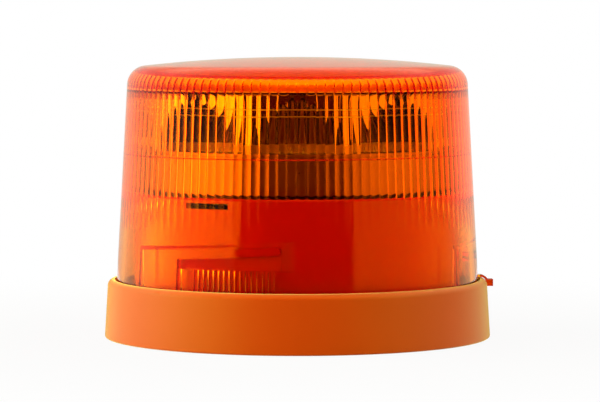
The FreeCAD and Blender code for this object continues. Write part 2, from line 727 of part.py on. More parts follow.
def cup_hollow(inset, top):
    """A paraboloid that opens outwards at the front, cut off flat at a height."""
    vertex = CUP_VERTEX + inset
    depth = MODULE_RADIUS + DOME_WALL - vertex
    half = math.sqrt(4.0 * REFLECTOR_FOCAL * depth)
    curve = Part.BezierCurve()
    curve.setPoles([Vector(0, 0, 0), Vector(0, half / 2.0, 0), Vector(depth, half, 0)])
    foot = Vector(depth, 0, 0)
    rest = [Part.makeLine(Vector(depth, half, 0), foot), Part.makeLine(foot, Vector(0, 0, 0))]
    bowl = Part.Face(Part.Wire([curve.toShape()] + rest)).revolve(Vector(0, 0, 0), Vector(1, 0, 0), 360.0)
    bowl.translate(Vector(vertex, 0, LED_BOARD_TOP))
    keep = Part.makeBox(depth, 2.0 * half, top - LED_BOARD_TOP, Vector(vertex, -half, LED_BOARD_TOP))
    return turned(bowl.common(keep), -90.0)


def reflector_ring():
    """Eight thin reflector cups behind a round wall, under one top plate with screw bosses."""
    circle = 2.0 * REFLECTOR_SCREW_CIRCLE
    head_hole = SCREW_HEAD_RADIUS + SCREW_HEAD_FIT
    body = tube(MODULE_RADIUS - REFLECTOR_WALL, MODULE_RADIUS, LED_BOARD_TOP, REFLECTOR_TOP)
    plate = tube(REFLECTOR_BORE, MODULE_RADIUS, REFLECTOR_TOP - REFLECTOR_WALL, REFLECTOR_TOP)
    bosses = hole_ring(REFLECTOR_BOSS_RADIUS, circle, REFLECTOR_SCREW_COUNT, REFLECTOR_SCREW_START,
                       LED_BOARD_TOP, REFLECTOR_TOP)
    reach = disc(MODULE_RADIUS, LED_BOARD_TOP, REFLECTOR_TOP)
    shell = cup_hollow(-REFLECTOR_WALL, REFLECTOR_TOP).common(reach)
    body = body.fuse([plate] + bosses + ring_of(shell, LED_COUNT)).removeSplitter()
    tops = [REFLECTOR_TOP - drop for drop in reversed(REFLECTOR_STEP_DROPS)] + [REFLECTOR_TOP]
    cuts = []
    for i, top in enumerate(tops):
        cuts += ring_of(cup_hollow(i * REFLECTOR_STEP, top), LED_COUNT)
    seat = LED_BOARD_TOP + SCREW_GRIP
    cuts += hole_ring(SCREW_SHANK_RADIUS + SCREW_FIT, circle, REFLECTOR_SCREW_COUNT, REFLECTOR_SCREW_START,
                      LED_BOARD_TOP, seat)
    cuts += hole_ring(head_hole, circle, REFLECTOR_SCREW_COUNT, REFLECTOR_SCREW_START, seat, REFLECTOR_TOP)
    return body.cut(cuts)


def reflector_cap():
    return revolved(profile(
        (0.0, REFLECTOR_TOP),
        (MODULE_RADIUS, REFLECTOR_TOP),
        (MODULE_RADIUS, CAP_TOP - CAP_EDGE),
        (MODULE_RADIUS - CAP_EDGE, CAP_TOP),
        (MODULE_RADIUS - CAP_RIM, CAP_TOP),
        (MODULE_RADIUS - CAP_RIM - CAP_RECESS, CAP_TOP - CAP_RECESS),
        (0.0, CAP_TOP - CAP_RECESS),
    ))


# Driver electronics, which stand on the driver board

def driver_board():
    body = disc(DECK_INNER_RADIUS - BOARD_MARGIN, BOARD_TOP - BOARD_THICKNESS, BOARD_TOP)
    holes = hole_ring(SCREW_SHANK_RADIUS + SCREW_FIT, BOARD_POST_CIRCLE, BOARD_SCREW_COUNT, BOARD_SCREW_START,
                      BOARD_TOP - BOARD_THICKNESS, BOARD_TOP)
    return body.cut(holes)


def inductor():
    waist = INDUCTOR_RADIUS - INDUCTOR_WAIST
    top = BOARD_TOP + INDUCTOR_HEIGHT
    body = revolved(profile(
        (0.0, BOARD_TOP),
        (INDUCTOR_RADIUS, BOARD_TOP),
        (INDUCTOR_RADIUS, BOARD_TOP + INDUCTOR_FLANGE),
        (waist, BOARD_TOP + INDUCTOR_FLANGE),
        (waist, top - INDUCTOR_FLANGE),
        (INDUCTOR_RADIUS, top - INDUCTOR_FLANGE),
        (INDUCTOR_RADIUS, top),
        (0.0, top),
    ))
    body.translate(at(*INDUCTOR_PLACE))
    return body


def capacitors():
    crimp_low = BOARD_TOP + 3.0 * CAPACITOR_CRIMP
    crimp_mid = crimp_low + CAPACITOR_CRIMP
    crimp_high = crimp_mid + CAPACITOR_CRIMP
    top = BOARD_TOP + CAPACITOR_HEIGHT
    can = revolved(profile(
        (0.0, BOARD_TOP),
        (CAPACITOR_RADIUS, BOARD_TOP),
        (CAPACITOR_RADIUS, crimp_low),
        (CAPACITOR_RADIUS - CAPACITOR_CRIMP, crimp_mid),
        (CAPACITOR_RADIUS, crimp_high),
        (CAPACITOR_RADIUS, top - CAPACITOR_CRIMP),
        (CAPACITOR_RADIUS - CAPACITOR_CRIMP, top),
        (0.0, top),
    ))
    cans = []
    for i in range(CAPACITOR_COUNT):
        copy = can.copy()
        shift = (i - (CAPACITOR_COUNT - 1) / 2.0) * CAPACITOR_PITCH
        copy.translate(Vector(shift, -CAPACITOR_PLACE[0], 0))
        cans.append(turned(copy, CAPACITOR_PLACE[1]))
    return Part.makeCompound(cans)


def power_transistors():
    width, depth = TRANSISTOR_BODY[:2]
    place, angle = TRANSISTOR_PLACE
    solids = []
    for i in range(TRANSISTOR_COUNT):
        shift = (i - (TRANSISTOR_COUNT - 1) / 2.0) * TRANSISTOR_PITCH
        body = block(TRANSISTOR_BODY, place, angle, BOARD_TOP, shift)
        tab_size = (width - TRANSISTOR_TAB, TRANSISTOR_TAB, TRANSISTOR_TAB_THICKNESS)
        tab = block(tab_size, place + (depth + TRANSISTOR_TAB) / 2.0, angle, BOARD_TOP, shift)
        solids.append(body.fuse(tab).removeSplitter())
    return Part.makeCompound(solids)


def controller_chip():
    place, angle = CHIP_PLACE
    width = CHIP_BODY[0]
    body = block(CHIP_BODY, place, angle, BOARD_TOP)
    pins = []
    for side in (-1.0, 1.0):
        for i in range(CHIP_PIN_COUNT):
            along = place + (i - (CHIP_PIN_COUNT - 1) / 2.0) * CHIP_PIN_PITCH
            pins.append(block(CHIP_PIN, along, angle, BOARD_TOP, side * (width + CHIP_PIN[0]) / 2.0))
    return body.fuse(pins).removeSplitter()


def terminal_block():
    place, angle = TERMINAL_PLACE
    width, depth, height = TERMINAL_BODY
    body = block(TERMINAL_BODY, place, angle, BOARD_TOP)
    entry_depth = TERMINAL_ENTRY[1]
    cuts = []
    for i in range(TERMINAL_WAYS):
        shift = (i + 0.5) * width / TERMINAL_WAYS - width / 2.0
        entry_place = place - (depth - entry_depth) / 2.0
        cuts.append(block(TERMINAL_ENTRY, entry_place, angle, BOARD_TOP + TERMINAL_ENTRY_HEIGHT, shift))
        top = BOARD_TOP + height
        hole = disc(TERMINAL_SCREW_RADIUS, top - TERMINAL_SCREW_DEPTH, top, Vector(shift, -place, 0))
        cuts.append(turned(hole, angle))
    return body.cut(cuts)


def led_connector():
    return block(CONNECTOR_BODY, 0.0, 0.0, BOARD_TOP)


def led_leads():
    low = BOARD_TOP + CONNECTOR_BODY[2]
    places = [Vector(side * LEAD_PITCH / 2.0, 0, 0) for side in (-1.0, 1.0)]
    return Part.makeCompound([disc(LEAD_RADIUS, low, HEAT_SINK_TOP, place) for place in places])


# Screws

def tower_screws():
    return screw_ring(2.0 * TOWER_SCREW_CIRCLE, TOWER_SCREW_COUNT, TOWER_SCREW_START,
                      TOWER_SCREW_SEAT, TOWER_SCREW_LENGTH, True)


def board_screws():
    return screw_ring(BOARD_POST_CIRCLE, BOARD_SCREW_COUNT, BOARD_SCREW_START,
                      BOARD_TOP, BOARD_THICKNESS + SCREW_GRIP, False)


def module_screws():
    return screw_ring(MODULE_SCREW_CIRCLE, MODULE_SCREW_COUNT, MODULE_SCREW_START,
                      TOWER_CEILING, TOWER_DECK + SCREW_GRIP, True)


def reflector_screws():
    return screw_ring(2.0 * REFLECTOR_SCREW_CIRCLE, REFLECTOR_SCREW_COUNT, REFLECTOR_SCREW_START,
                      LED_BOARD_TOP + SCREW_GRIP, 2.0 * SCREW_GRIP + BOARD_THICKNESS, False)


PIECES = [
    base_housing, base_gasket, mounting_inserts, cable_grommet, vent_plug, dome_seal,
    tower_housing, tower_screws, driver_board, board_screws, inductor, capacitors,
    power_transistors, controller_chip, terminal_block, led_connector, led_leads,
    heat_sink, module_screws, led_board, led_packages, led_domes,
    reflector_ring, reflector_screws, reflector_cap, dome_lens,
]

os.makedirs("parts", exist_ok=True)
for piece in PIECES:
    shape = piece()
    shape.exportStep("parts/" + piece.__name__ + ".step")
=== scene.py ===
import bpy
import math
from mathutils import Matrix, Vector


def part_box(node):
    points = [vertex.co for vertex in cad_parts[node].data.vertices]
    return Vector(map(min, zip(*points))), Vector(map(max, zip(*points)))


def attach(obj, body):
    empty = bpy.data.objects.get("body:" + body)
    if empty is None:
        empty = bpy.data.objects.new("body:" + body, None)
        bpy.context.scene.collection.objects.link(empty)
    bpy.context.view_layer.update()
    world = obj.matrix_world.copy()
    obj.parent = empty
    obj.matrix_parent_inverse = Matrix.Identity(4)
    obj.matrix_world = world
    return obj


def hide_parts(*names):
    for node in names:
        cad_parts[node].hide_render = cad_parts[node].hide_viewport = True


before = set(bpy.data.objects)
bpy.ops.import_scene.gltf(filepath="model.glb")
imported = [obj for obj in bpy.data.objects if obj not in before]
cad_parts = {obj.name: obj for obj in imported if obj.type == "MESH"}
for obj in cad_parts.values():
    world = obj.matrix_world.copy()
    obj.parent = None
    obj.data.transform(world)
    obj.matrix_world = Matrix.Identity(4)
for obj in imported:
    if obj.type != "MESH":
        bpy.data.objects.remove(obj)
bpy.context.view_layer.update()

bl_info = {
    "name": "Amber Strobe Beacon",
    "version": (1, 0, 0),
    "blender": (4, 5, 0),
    "location": "View3D > Sidebar > Beacon",
    "description": "Dresses the packed beacon: amber dome, moulded base and tower, mirrored light module, studio",
    "category": "Object",
}

# Lengths are metres. Angles round the axis start at the front, -Y, and grow towards +X.

DOME_LOW, DOME_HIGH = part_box("dome_lens")
BASE_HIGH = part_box("base_housing")[1]
TOWER_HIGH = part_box("tower_housing")[1]
HEAT_SINK_LOW, HEAT_SINK_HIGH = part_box("heat_sink")
LED_BOARD_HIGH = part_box("led_board")[1]
REFLECTOR_LOW, REFLECTOR_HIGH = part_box("reflector_ring")


def radians(*degrees):
    return tuple(math.radians(angle) for angle in degrees)


# Draft of the base under the tab, bend of the tab over the rim, and the angle from which an edge is sharp
BASE_DRAFT = math.radians(3.4)
TAB_BEND = radians(90.0, 70.0, 50.0, 30.0)
SHARP_ANGLE = math.radians(50.0)

# Mesh rows along the stretches of the dome's section, and steps across the tab
WALL_ROWS = 16
SHOULDER_ROWS = 18
CROWN_ROWS = 14
FADE_ROWS = 10
LONG_ROWS = 8
SHORT_ROWS = 6
TAB_STEPS = 4

# Painted light on the inside face of the rim and painted shade on the inside faces of the tower: radius, lower end,
# upper end and colour, with a soft border
RIM_PAINTED_LIGHT = (0.0804, 0.008, BASE_HIGH.z - 0.0015, (0.97, 0.2, 0.01))
TOWER_PAINTED_SHADE = (0.0697, 0.0, TOWER_HIGH.z - 0.003, (0.03, 0.004, 0.001))
CORE_EDGE = 0.0005

# Soft borders between the dome's faces, its satin crown and its tab
FACE_EDGE = 0.0003
CROWN_EDGE = (0.0008, 0.001)
TAB_EDGE = 0.0006
TAB_COLOUR = (0.55, 0.05, 0.001)

# Painted shade: short dark dashes in the flutes under the shoulder
DASH_HEIGHT = 0.001
DASH_EDGE = 0.0002
DASH_WIDTH = (0.8, 0.9)
DASH_SHADE_COLOUR = (0.03, 0.002, 0.0)

# Painted highlight lines across the cups and their satin foot, painted shade at the foot of the heat sink, bare
# edge of the LED board
HIGHLIGHT_LINES = (REFLECTOR_HIGH.z - 0.0065, REFLECTOR_HIGH.z - 0.0095)
HIGHLIGHT_EDGE = (0.00015, 0.0004)
HIGHLIGHT_COLOUR = (0.9, 0.88, 0.85)
CUP_FOOT = REFLECTOR_LOW.z + 0.0036
CUP_FOOT_EDGE = 0.0004
CUP_FOOT_COLOUR = (0.95, 0.7, 0.45)
SINK_FOOT = HEAT_SINK_LOW.z + 0.0008
FOOT_EDGE = 0.0003
FOOT_SHADE = 0.08
BARE_EDGE = (0.0003, 0.0001)

# Tints of the plastics' gleam and sheen
WHITE = (1.0, 1.0, 1.0)
BASE_GLEAM = (1.0, 0.95, 0.05)
TOWER_GLEAM = (1.0, 0.95, 0.2)
SHEEN_TINT = (1.0, 1.0, 0.20)

# Where the studio's lights come in, by the angle from the front
RIGHT_EDGE = radians(36.5, 39.5)
LEFT_EDGE = radians(39.0, 42.0)
RISE_EDGE = radians(55.0, 120.0)
FLANK_EDGE = radians(105.0, 135.0)
CREST_EDGE = radians(125.0, 145.0)
REAR_EDGE = radians(142.0, 160.0)

# Where they come in by the rise of the ray, from 0 when level to 1 straight up
CEILING_EDGE = (0.5, 0.7)
HIGH_EDGE = (0.2, 0.4)
CREST_RISE = (0.08, 0.25)

# The floor: its gap under the beacon, its whiteness there, and where it turns white, from a distance
# in metres to a share of its radius
FLOOR_DROP = 0.0002
FLOOR_WHITE = 0.93
FLOOR_NEAR = 0.1
FLOOR_FAR = 0.8


class BeaconShape(bpy.types.PropertyGroup):
    """Sizes of the dome and of its moulded detail."""

    skirt_radius: bpy.props.FloatProperty(
        name="Skirt Radius", description="Outer radius at the lower edge", default=-DOME_LOW.y, unit="LENGTH")
    draft: bpy.props.FloatProperty(
        name="Draft", description="Lean of the wall towards the axis", default=math.radians(3.18), subtype="ANGLE")
    wall: bpy.props.FloatProperty(
        name="Wall", description="Thickness of the dome's wall", default=0.003, unit="LENGTH")
    crown_wall: bpy.props.FloatProperty(
        name="Crown Wall", description="Thickness of the dome's crown", default=0.0054, unit="LENGTH")
    shoulder_radius: bpy.props.FloatProperty(
        name="Shoulder Radius", description="Outer fillet from wall to crown", default=0.0085, unit="LENGTH")
    crown_radius: bpy.props.FloatProperty(
        name="Crown Radius", description="Radius of the shallow crown", default=0.6, unit="LENGTH")
    flute_count: bpy.props.IntProperty(
        name="Flutes", description="Flutes round the inside of the dome", default=120, min=12)
    flute_points: bpy.props.IntProperty(
        name="Points per Flute", description="Mesh columns across one flute", default=12, min=4)
    upper_sag: bpy.props.FloatProperty(
        name="Upper Sag", description="Flute bulge at the reflectors", default=0.00046, unit="LENGTH", precision=5)
    lower_sag: bpy.props.FloatProperty(
        name="Lower Sag", description="Flute bulge at the heat sink", default=0.00042, unit="LENGTH", precision=5)
    shoulder_sag: bpy.props.FloatProperty(
        name="Shoulder Sag", description="Flute bulge at the shoulder", default=0.00055, unit="LENGTH", precision=5)
    shoulder_turn: bpy.props.FloatProperty(
        name="Shoulder Turn", description="How far the flutes go round the shoulder",
        default=math.radians(64.0), subtype="ANGLE")
    shoulder_round: bpy.props.FloatProperty(
        name="Shoulder Round", description="Angle of a flute's round end on the shoulder",
        default=math.radians(14.0), subtype="ANGLE")
    fade_sag: bpy.props.FloatProperty(
        name="Fading Sag", description="Bulge of the faint flutes", default=0.00024, unit="LENGTH", precision=5)
    fade_depth: bpy.props.FloatProperty(
        name="Fading Depth", description="Height in which the faint flutes die out", default=0.0165, unit="LENGTH")
    band_groove: bpy.props.FloatProperty(
        name="Band Groove", description="Depth of the groove between the two bands",
        default=0.0002, unit="LENGTH", precision=5)
    shoulder_groove: bpy.props.FloatProperty(
        name="Shoulder Groove", description="Depth of the groove under the shoulder",
        default=0.00065, unit="LENGTH", precision=5)
    flute_taper: bpy.props.FloatProperty(
        name="Flute Taper", description="Height of the slanted end of a band of flutes",
        default=0.0008, unit="LENGTH", precision=5)
    flute_overrun: bpy.props.FloatProperty(
        name="Flute Overrun", description="Rise of the flutes above the reflectors", default=0.001, unit="LENGTH")
    bayonet_count: bpy.props.IntProperty(
        name="Bayonets", description="Bayonet ledges round the dome", default=3, min=1)
    frame_start: bpy.props.FloatProperty(
        name="Frame Start", description="Angle at which the first bayonet's frame starts",
        default=math.radians(-60.0), subtype="ANGLE")
    frame_span: bpy.props.FloatProperty(
        name="Frame Span", description="Angle of one bayonet's frame", default=math.radians(59.0), subtype="ANGLE")
    frame_rib: bpy.props.FloatProperty(
        name="Frame Rib", description="Width of the frame's ribs", default=0.0016, unit="LENGTH")
    frame_radius: bpy.props.FloatProperty(
        name="Frame Radius", description="Inner radius, just outside the tower's lugs",
        default=0.07396, unit="LENGTH", precision=5)
    channel_span: bpy.props.FloatProperty(
        name="Channel Span", description="Angle where a lug goes in", default=math.radians(17.6), subtype="ANGLE")
    stop_span: bpy.props.FloatProperty(
        name="Stop Span", description="Angle of the stop on a ledge", default=math.radians(4.0), subtype="ANGLE")
    ledge_radius: bpy.props.FloatProperty(
        name="Ledge Radius", description="Inner radius of a ledge", default=0.07173, unit="LENGTH", precision=5)
    ledge_bottom: bpy.props.FloatProperty(
        name="Ledge Bottom", description="Height of a ledge's underside", default=0.0336, unit="LENGTH")
    ledge_height: bpy.props.FloatProperty(
        name="Ledge Height", description="Height of a ledge where it starts", default=0.0040, unit="LENGTH")
    ledge_rise: bpy.props.FloatProperty(
        name="Ledge Rise", description="Climb of a ledge towards its stop", default=0.0025, unit="LENGTH")
    lug_room: bpy.props.FloatProperty(
        name="Lug Room", description="Height between a ledge and the frame's roof", default=0.0039, unit="LENGTH")
    comb_count: bpy.props.IntProperty(
        name="Comb Ribs", description="Ribs under one ledge", default=15, min=1)
    comb_rib: bpy.props.FloatProperty(
        name="Comb Rib", description="Width of a rib under a ledge", default=0.0014, unit="LENGTH")
    comb_depth: bpy.props.FloatProperty(
        name="Comb Depth", description="How far the ribs stand in from the wall", default=0.0015, unit="LENGTH")
    comb_start: bpy.props.FloatProperty(
        name="Comb Start", description="Angle up to the first rib", default=math.radians(7.0), subtype="ANGLE")
    comb_end: bpy.props.FloatProperty(
        name="Comb End", description="Angle after the last rib's pitch", default=math.radians(1.5), subtype="ANGLE")
    comb_seat: bpy.props.FloatProperty(
        name="Comb Seat", description="Height of the ribs' feet above the skirt", default=0.006, unit="LENGTH")
    tab_angle: bpy.props.FloatProperty(
        name="Tab Angle", description="Place of the tab on the rim", default=math.radians(93.0), subtype="ANGLE")
    tab_width: bpy.props.FloatProperty(
        name="Tab Width", description="Width of the tab round the rim", default=0.005, unit="LENGTH")
    tab_thickness: bpy.props.FloatProperty(
        name="Tab Thickness", description="Thickness of the tab over the rim", default=0.0009, unit="LENGTH")
    tab_clearance: bpy.props.FloatProperty(
        name="Tab Clearance", description="Gap between the tab and the rim", default=0.0004, unit="LENGTH")
    nub_height: bpy.props.FloatProperty(
        name="Nub Height", description="Height of the nub at the tab's end", default=0.0029, unit="LENGTH")
    rim_fillet: bpy.props.FloatProperty(
        name="Rim Fillet", description="Round of the base's rim under the tab", default=0.0027, unit="LENGTH")


class BeaconFinish(bpy.types.PropertyGroup):
    """Colours of the beacon's plastics and metals."""

    amber: bpy.props.FloatVectorProperty(
        name="Amber", description="Tint of light at the two faces of the wall",
        default=(0.965, 0.60, 0.05), subtype="COLOR", min=0.0, max=1.0)
    amber_depth: bpy.props.FloatVectorProperty(
        name="Amber Depth", description="Colour that the plastic lets through",
        default=(0.9976, 0.8786, 0.0966), subtype="COLOR", min=0.0, max=1.0)
    amber_density: bpy.props.FloatProperty(
        name="Amber Density", description="How strongly it colours light, per metre", default=700.0, min=0.0)
    amber_sheen: bpy.props.FloatVectorProperty(
        name="Amber Sheen", description="Tint of the dome's own reflections seen straight on",
        default=(0.2, 0.1, 0.08), subtype="COLOR", min=0.0, max=1.0)
    orange: bpy.props.FloatVectorProperty(
        name="Orange", description="Moulded plastic of the base",
        default=(0.48, 0.039, 0.0003), subtype="COLOR", min=0.0, max=1.0)
    tower_orange: bpy.props.FloatVectorProperty(
        name="Tower Orange", description="Moulded plastic of the tower under the dome",
        default=(0.72, 0.013, 0.001), subtype="COLOR", min=0.0, max=1.0)
    mirror: bpy.props.FloatVectorProperty(
        name="Mirror", description="Metallised face of the reflector cups",
        default=(0.66, 0.42, 0.30), subtype="COLOR", min=0.0, max=1.0)
    aluminium: bpy.props.FloatVectorProperty(
        name="Aluminium", description="Cast heat sink",
        default=(0.36, 0.19, 0.17), subtype="COLOR", min=0.0, max=1.0)


class BeaconStudio(bpy.types.PropertyGroup):
    """Camera and light of the studio."""

    camera_distance: bpy.props.FloatProperty(
        name="Camera Distance", description="Distance from the axis to the camera", default=1.30, unit="LENGTH")
    camera_height: bpy.props.FloatProperty(
        name="Camera Height", description="Height of the camera above the floor", default=0.1335, unit="LENGTH")
    camera_side: bpy.props.FloatProperty(
        name="Camera Side", description="Camera's step to the right of the axis", default=0.0011, unit="LENGTH")
    camera_tilt: bpy.props.FloatProperty(
        name="Camera Tilt", description="How far the camera looks down", default=math.radians(3.3), subtype="ANGLE")
    lens: bpy.props.FloatProperty(
        name="Lens", description="Focal length of the camera", default=180.0, unit="CAMERA")
    left_light: bpy.props.FloatProperty(
        name="Left Light", description="Brightness of the soft light at the left", default=6.2, min=0.0)
    right_light: bpy.props.FloatProperty(
        name="Right Light", description="Brightness of the soft light at the right", default=1.5, min=0.0)
    top_light: bpy.props.FloatProperty(
        name="Top Light", description="Brightness of the ceiling on the base and the floor", default=0.9, min=0.0)
    dome_top_light: bpy.props.FloatProperty(
        name="Top Light through Dome", description="Ceiling's brightness through the dome", default=1.2, min=0.0)
    top_gleam: bpy.props.FloatProperty(
        name="Top Gleam", description="Brightness of the ceiling that shiny faces mirror", default=2.2, min=0.0)
    side_rise: bpy.props.FloatProperty(
        name="Side Rise", description="How much brighter the left light is at the back", default=0.6, min=0.0)
    right_inside: bpy.props.FloatProperty(
        name="Right Light through Dome", description="Brightness of the right light through the dome",
        default=2.7, min=0.0)
    right_high: bpy.props.FloatProperty(
        name="High Right Light", description="Brightness of the raised light at the right", default=3.4, min=0.0)
    front_light: bpy.props.FloatProperty(
        name="Front Light", description="Brightness of the dim side behind the camera", default=0.10, min=0.0)
    flank_light: bpy.props.FloatProperty(
        name="Flank Light", description="Brightness between the side lights and backdrop", default=1.25, min=0.0)
    flank_gleam: bpy.props.FloatProperty(
        name="Flank Gleam", description="Brightness of the flanks that shiny faces mirror", default=0.9, min=0.0)
    rear_light: bpy.props.FloatProperty(
        name="Rear Light", description="Brightness of the backdrop", default=0.75, min=0.0)
    back_high: bpy.props.FloatProperty(
        name="High Back Light", description="Brightness of the raised light behind the dome", default=2.6, min=0.0)
    gleam_share: bpy.props.FloatProperty(
        name="Gleam Share", description="Share of side light in shiny faces", default=0.1, min=0.0, max=1.0)
    light_hue: bpy.props.FloatVectorProperty(
        name="Light Hue", description="Warm tone of the studio's light",
        default=(1.0, 0.95, 0.78), subtype="COLOR", min=0.0, max=1.0)
    ceiling_hue: bpy.props.FloatVectorProperty(
        name="Ceiling Hue", description="Warm tone of the ceiling",
        default=(1.0, 0.85, 0.68), subtype="COLOR", min=0.0, max=1.0)
    front_hue: bpy.props.FloatVectorProperty(
        name="Front Hue", description="Tone of the dim side behind the camera",
        default=(1.0, 0.15, 0.05), subtype="COLOR", min=0.0, max=1.0)
    floor_radius: bpy.props.FloatProperty(
        name="Floor Radius", description="Radius of the round studio floor", default=0.45, unit="LENGTH")
    floor_paint: bpy.props.FloatVectorProperty(
        name="Floor", description="Pale studio floor",
        default=(0.42, 0.42, 0.42), subtype="COLOR", min=0.0, max=1.0)


# Shader graphs

class Value:
    """A shader socket that adds Math nodes when it is used in an expression."""

    def __init__(self, graph, socket):
        self.graph = graph
        self.socket = socket

    def __add__(self, other):
        return self.graph.maths("ADD", self, other)

    def __radd__(self, other):
        return self.graph.maths("ADD", other, self)

    def __sub__(self, other):
        return self.graph.maths("SUBTRACT", self, other)

    def __rsub__(self, other):
        return self.graph.maths("SUBTRACT", other, self)

    def __mul__(self, other):
        return self.graph.maths("MULTIPLY", self, other)

    def __rmul__(self, other):
        return self.graph.maths("MULTIPLY", other, self)


class Graph:
    """The node tree of one material or of the world."""

    def __init__(self, owner):
        owner.use_nodes = True
        self.owner = owner
        self.tree = owner.node_tree
        self.tree.nodes.clear()

    def node(self, kind, settings=None, sockets=None):
        """Add a node, set its settings, then fill or link its sockets, and give its outputs by name."""
        made = self.tree.nodes.new(kind)
        for name, setting in (settings or {}).items():
            setattr(made, name, setting)
        for key, filling in (sockets or {}).items():
            socket = made.inputs[key] if isinstance(key, int) else self.open_socket(made, key)
            if isinstance(filling, Value):
                self.tree.links.new(filling.socket, socket)
            else:
                socket.default_value = filling
        return {output.name: Value(self, output) for output in made.outputs if output.enabled}

    @staticmethod
    def open_socket(made, name):
        return next(socket for socket in made.inputs if socket.enabled and socket.name == name)

    def maths(self, operation, *values):
        return self.node("ShaderNodeMath", {"operation": operation}, dict(enumerate(values)))["Value"]

    def vector_maths(self, operation, output, *vectors):
        return self.node("ShaderNodeVectorMath", {"operation": operation}, dict(enumerate(vectors)))[output]

    def parts(self, place):
        return self.node("ShaderNodeSeparateXYZ", None, {"Vector": place})

    def axis_distance(self, place):
        flat = self.vector_maths("MULTIPLY", "Vector", place, (1.0, 1.0, 0.0))
        return self.vector_maths("LENGTH", "Value", flat)

    def swing(self, part):
        """The angle round the axis from the front."""
        return self.maths("ARCTAN2", part["X"], part["Y"] * -1.0)

    def noise(self, place, scale, detail=3.0):
        sockets = {"Vector": place, "Scale": scale, "Detail": detail, "Roughness": 0.55}
        return self.node("ShaderNodeTexNoise", None, sockets)["Fac"]

    def mix_colour(self, factor, first, second):
        settings = {"data_type": "RGBA", "clamp_factor": True}
        return self.node("ShaderNodeMix", settings, {"Factor": factor, "A": first, "B": second})["Result"]

    def smooth_step(self, value, low, high):
        settings = {"interpolation_type": "SMOOTHSTEP"}
        sockets = {"Value": value, "From Min": low, "From Max": high}
        return self.node("ShaderNodeMapRange", settings, sockets)["Result"]

    def below(self, value, low, high):
        return 1.0 - self.smooth_step(value, low, high)

    def bump(self, height, strength, distance):
        sockets = {"Height": height, "Strength": strength, "Distance": distance}
        return self.node("ShaderNodeBump", None, sockets)["Normal"]

    def closed(self, **outputs):
        """Close the graph of a material with its surface and, where given, its volume, and give the material."""
        self.node("ShaderNodeOutputMaterial", None, outputs)
        return self.owner

    def principled(self, sockets, **volume):
        surface = self.node("ShaderNodeBsdfPrincipled", None, sockets)["BSDF"]
        return self.closed(Surface=surface, **volume)


def blend(factor, first, second):
    return first + factor * (second - first)


def rgba(colour, shade=1.0):
    return (colour[0] * shade, colour[1] * shade, colour[2] * shade, 1.0)


def fresh_material(name):
    graph = Graph(bpy.data.materials.new(name))
    return graph, graph.node("ShaderNodeTexCoord")["Object"]


def moulded_plastic(name, colour, roughness, grain=0.04, gleam=0.4, tint=WHITE, sheen=0.0, core=None):
    """Opaque moulded plastic: faint flow marks, uneven gloss, a fine skin and, where asked, another colour on the
    faces inside a radius, as painted light (the rim) or painted shade (the tower).
    """
    graph, place = fresh_material(name)
    flow = graph.noise(place, 35.0, 4.0)
    skin = graph.noise(place, 1800.0, 2.0)
    tone = graph.mix_colour(flow, rgba(colour, 0.94), rgba(colour, 1.06))
    # Faces inside the given radius and heights get another colour: painted light in the base's rim, painted shade
    # in the tower
    if core is not None:
        radius, low, high, inside = core
        height = graph.parts(place)["Z"]
        within = graph.below(graph.axis_distance(place), radius - CORE_EDGE, radius)
        above = graph.smooth_step(height, low, low + CORE_EDGE)
        under = graph.below(height, high - CORE_EDGE, high)
        tone = graph.mix_colour(within * above * under, tone, rgba(inside))
    return graph.principled({
        "Base Color": tone,
        "Roughness": roughness * 0.85 + roughness * 0.3 * graph.noise(place, 90.0),
        "IOR": 1.5,
        "Specular IOR Level": gleam,
        "Specular Tint": rgba(tint),
        "Sheen Weight": sheen,
        "Sheen Roughness": 0.38,
        "Sheen Tint": rgba(SHEEN_TINT),
        "Normal": graph.bump(skin, grain, 0.0001),
    })


def crown_underside(graph, form, place, height, radius):
    """Mask of the crown's lower face, within the shoulder."""
    shape = form.shape
    reach = graph.vector_maths("DISTANCE", "Value", place, (0.0, 0.0, form.crown_z))
    middle = shape.crown_radius - shape.crown_wall / 2.0
    under = graph.below(reach, middle - FACE_EDGE, middle + FACE_EDGE)
    side, rise = form.centre
    within = graph.below(radius, side, side + CROWN_EDGE[0])
    return under * within * graph.smooth_step(height, rise, rise + CROWN_EDGE[1])


def flute_shade_dashes(graph, form, part, radius):
    """Mask of painted shade: one short dark dash in each flute, on the inner wall at the step under the shoulder.
    """
    shape = form.shape
    height = part["Z"]
    middle = form.outer(0.0) - shape.wall / 2.0
    inner = graph.below(radius + math.tan(shape.draft) * height, middle - FACE_EDGE, middle + FACE_EDGE)
    start = graph.smooth_step(height, form.flute_top - DASH_HEIGHT, form.flute_top - DASH_HEIGHT + DASH_EDGE)
    end = graph.below(height, form.flute_top, form.flute_top + DASH_EDGE)
    pitch = graph.maths("FRACT", graph.swing(part) * (shape.flute_count / 2.0 / math.pi))
    across = graph.maths("ABSOLUTE", pitch * 2.0 - 1.0)
    return inner * start * end * graph.below(across, *DASH_WIDTH)


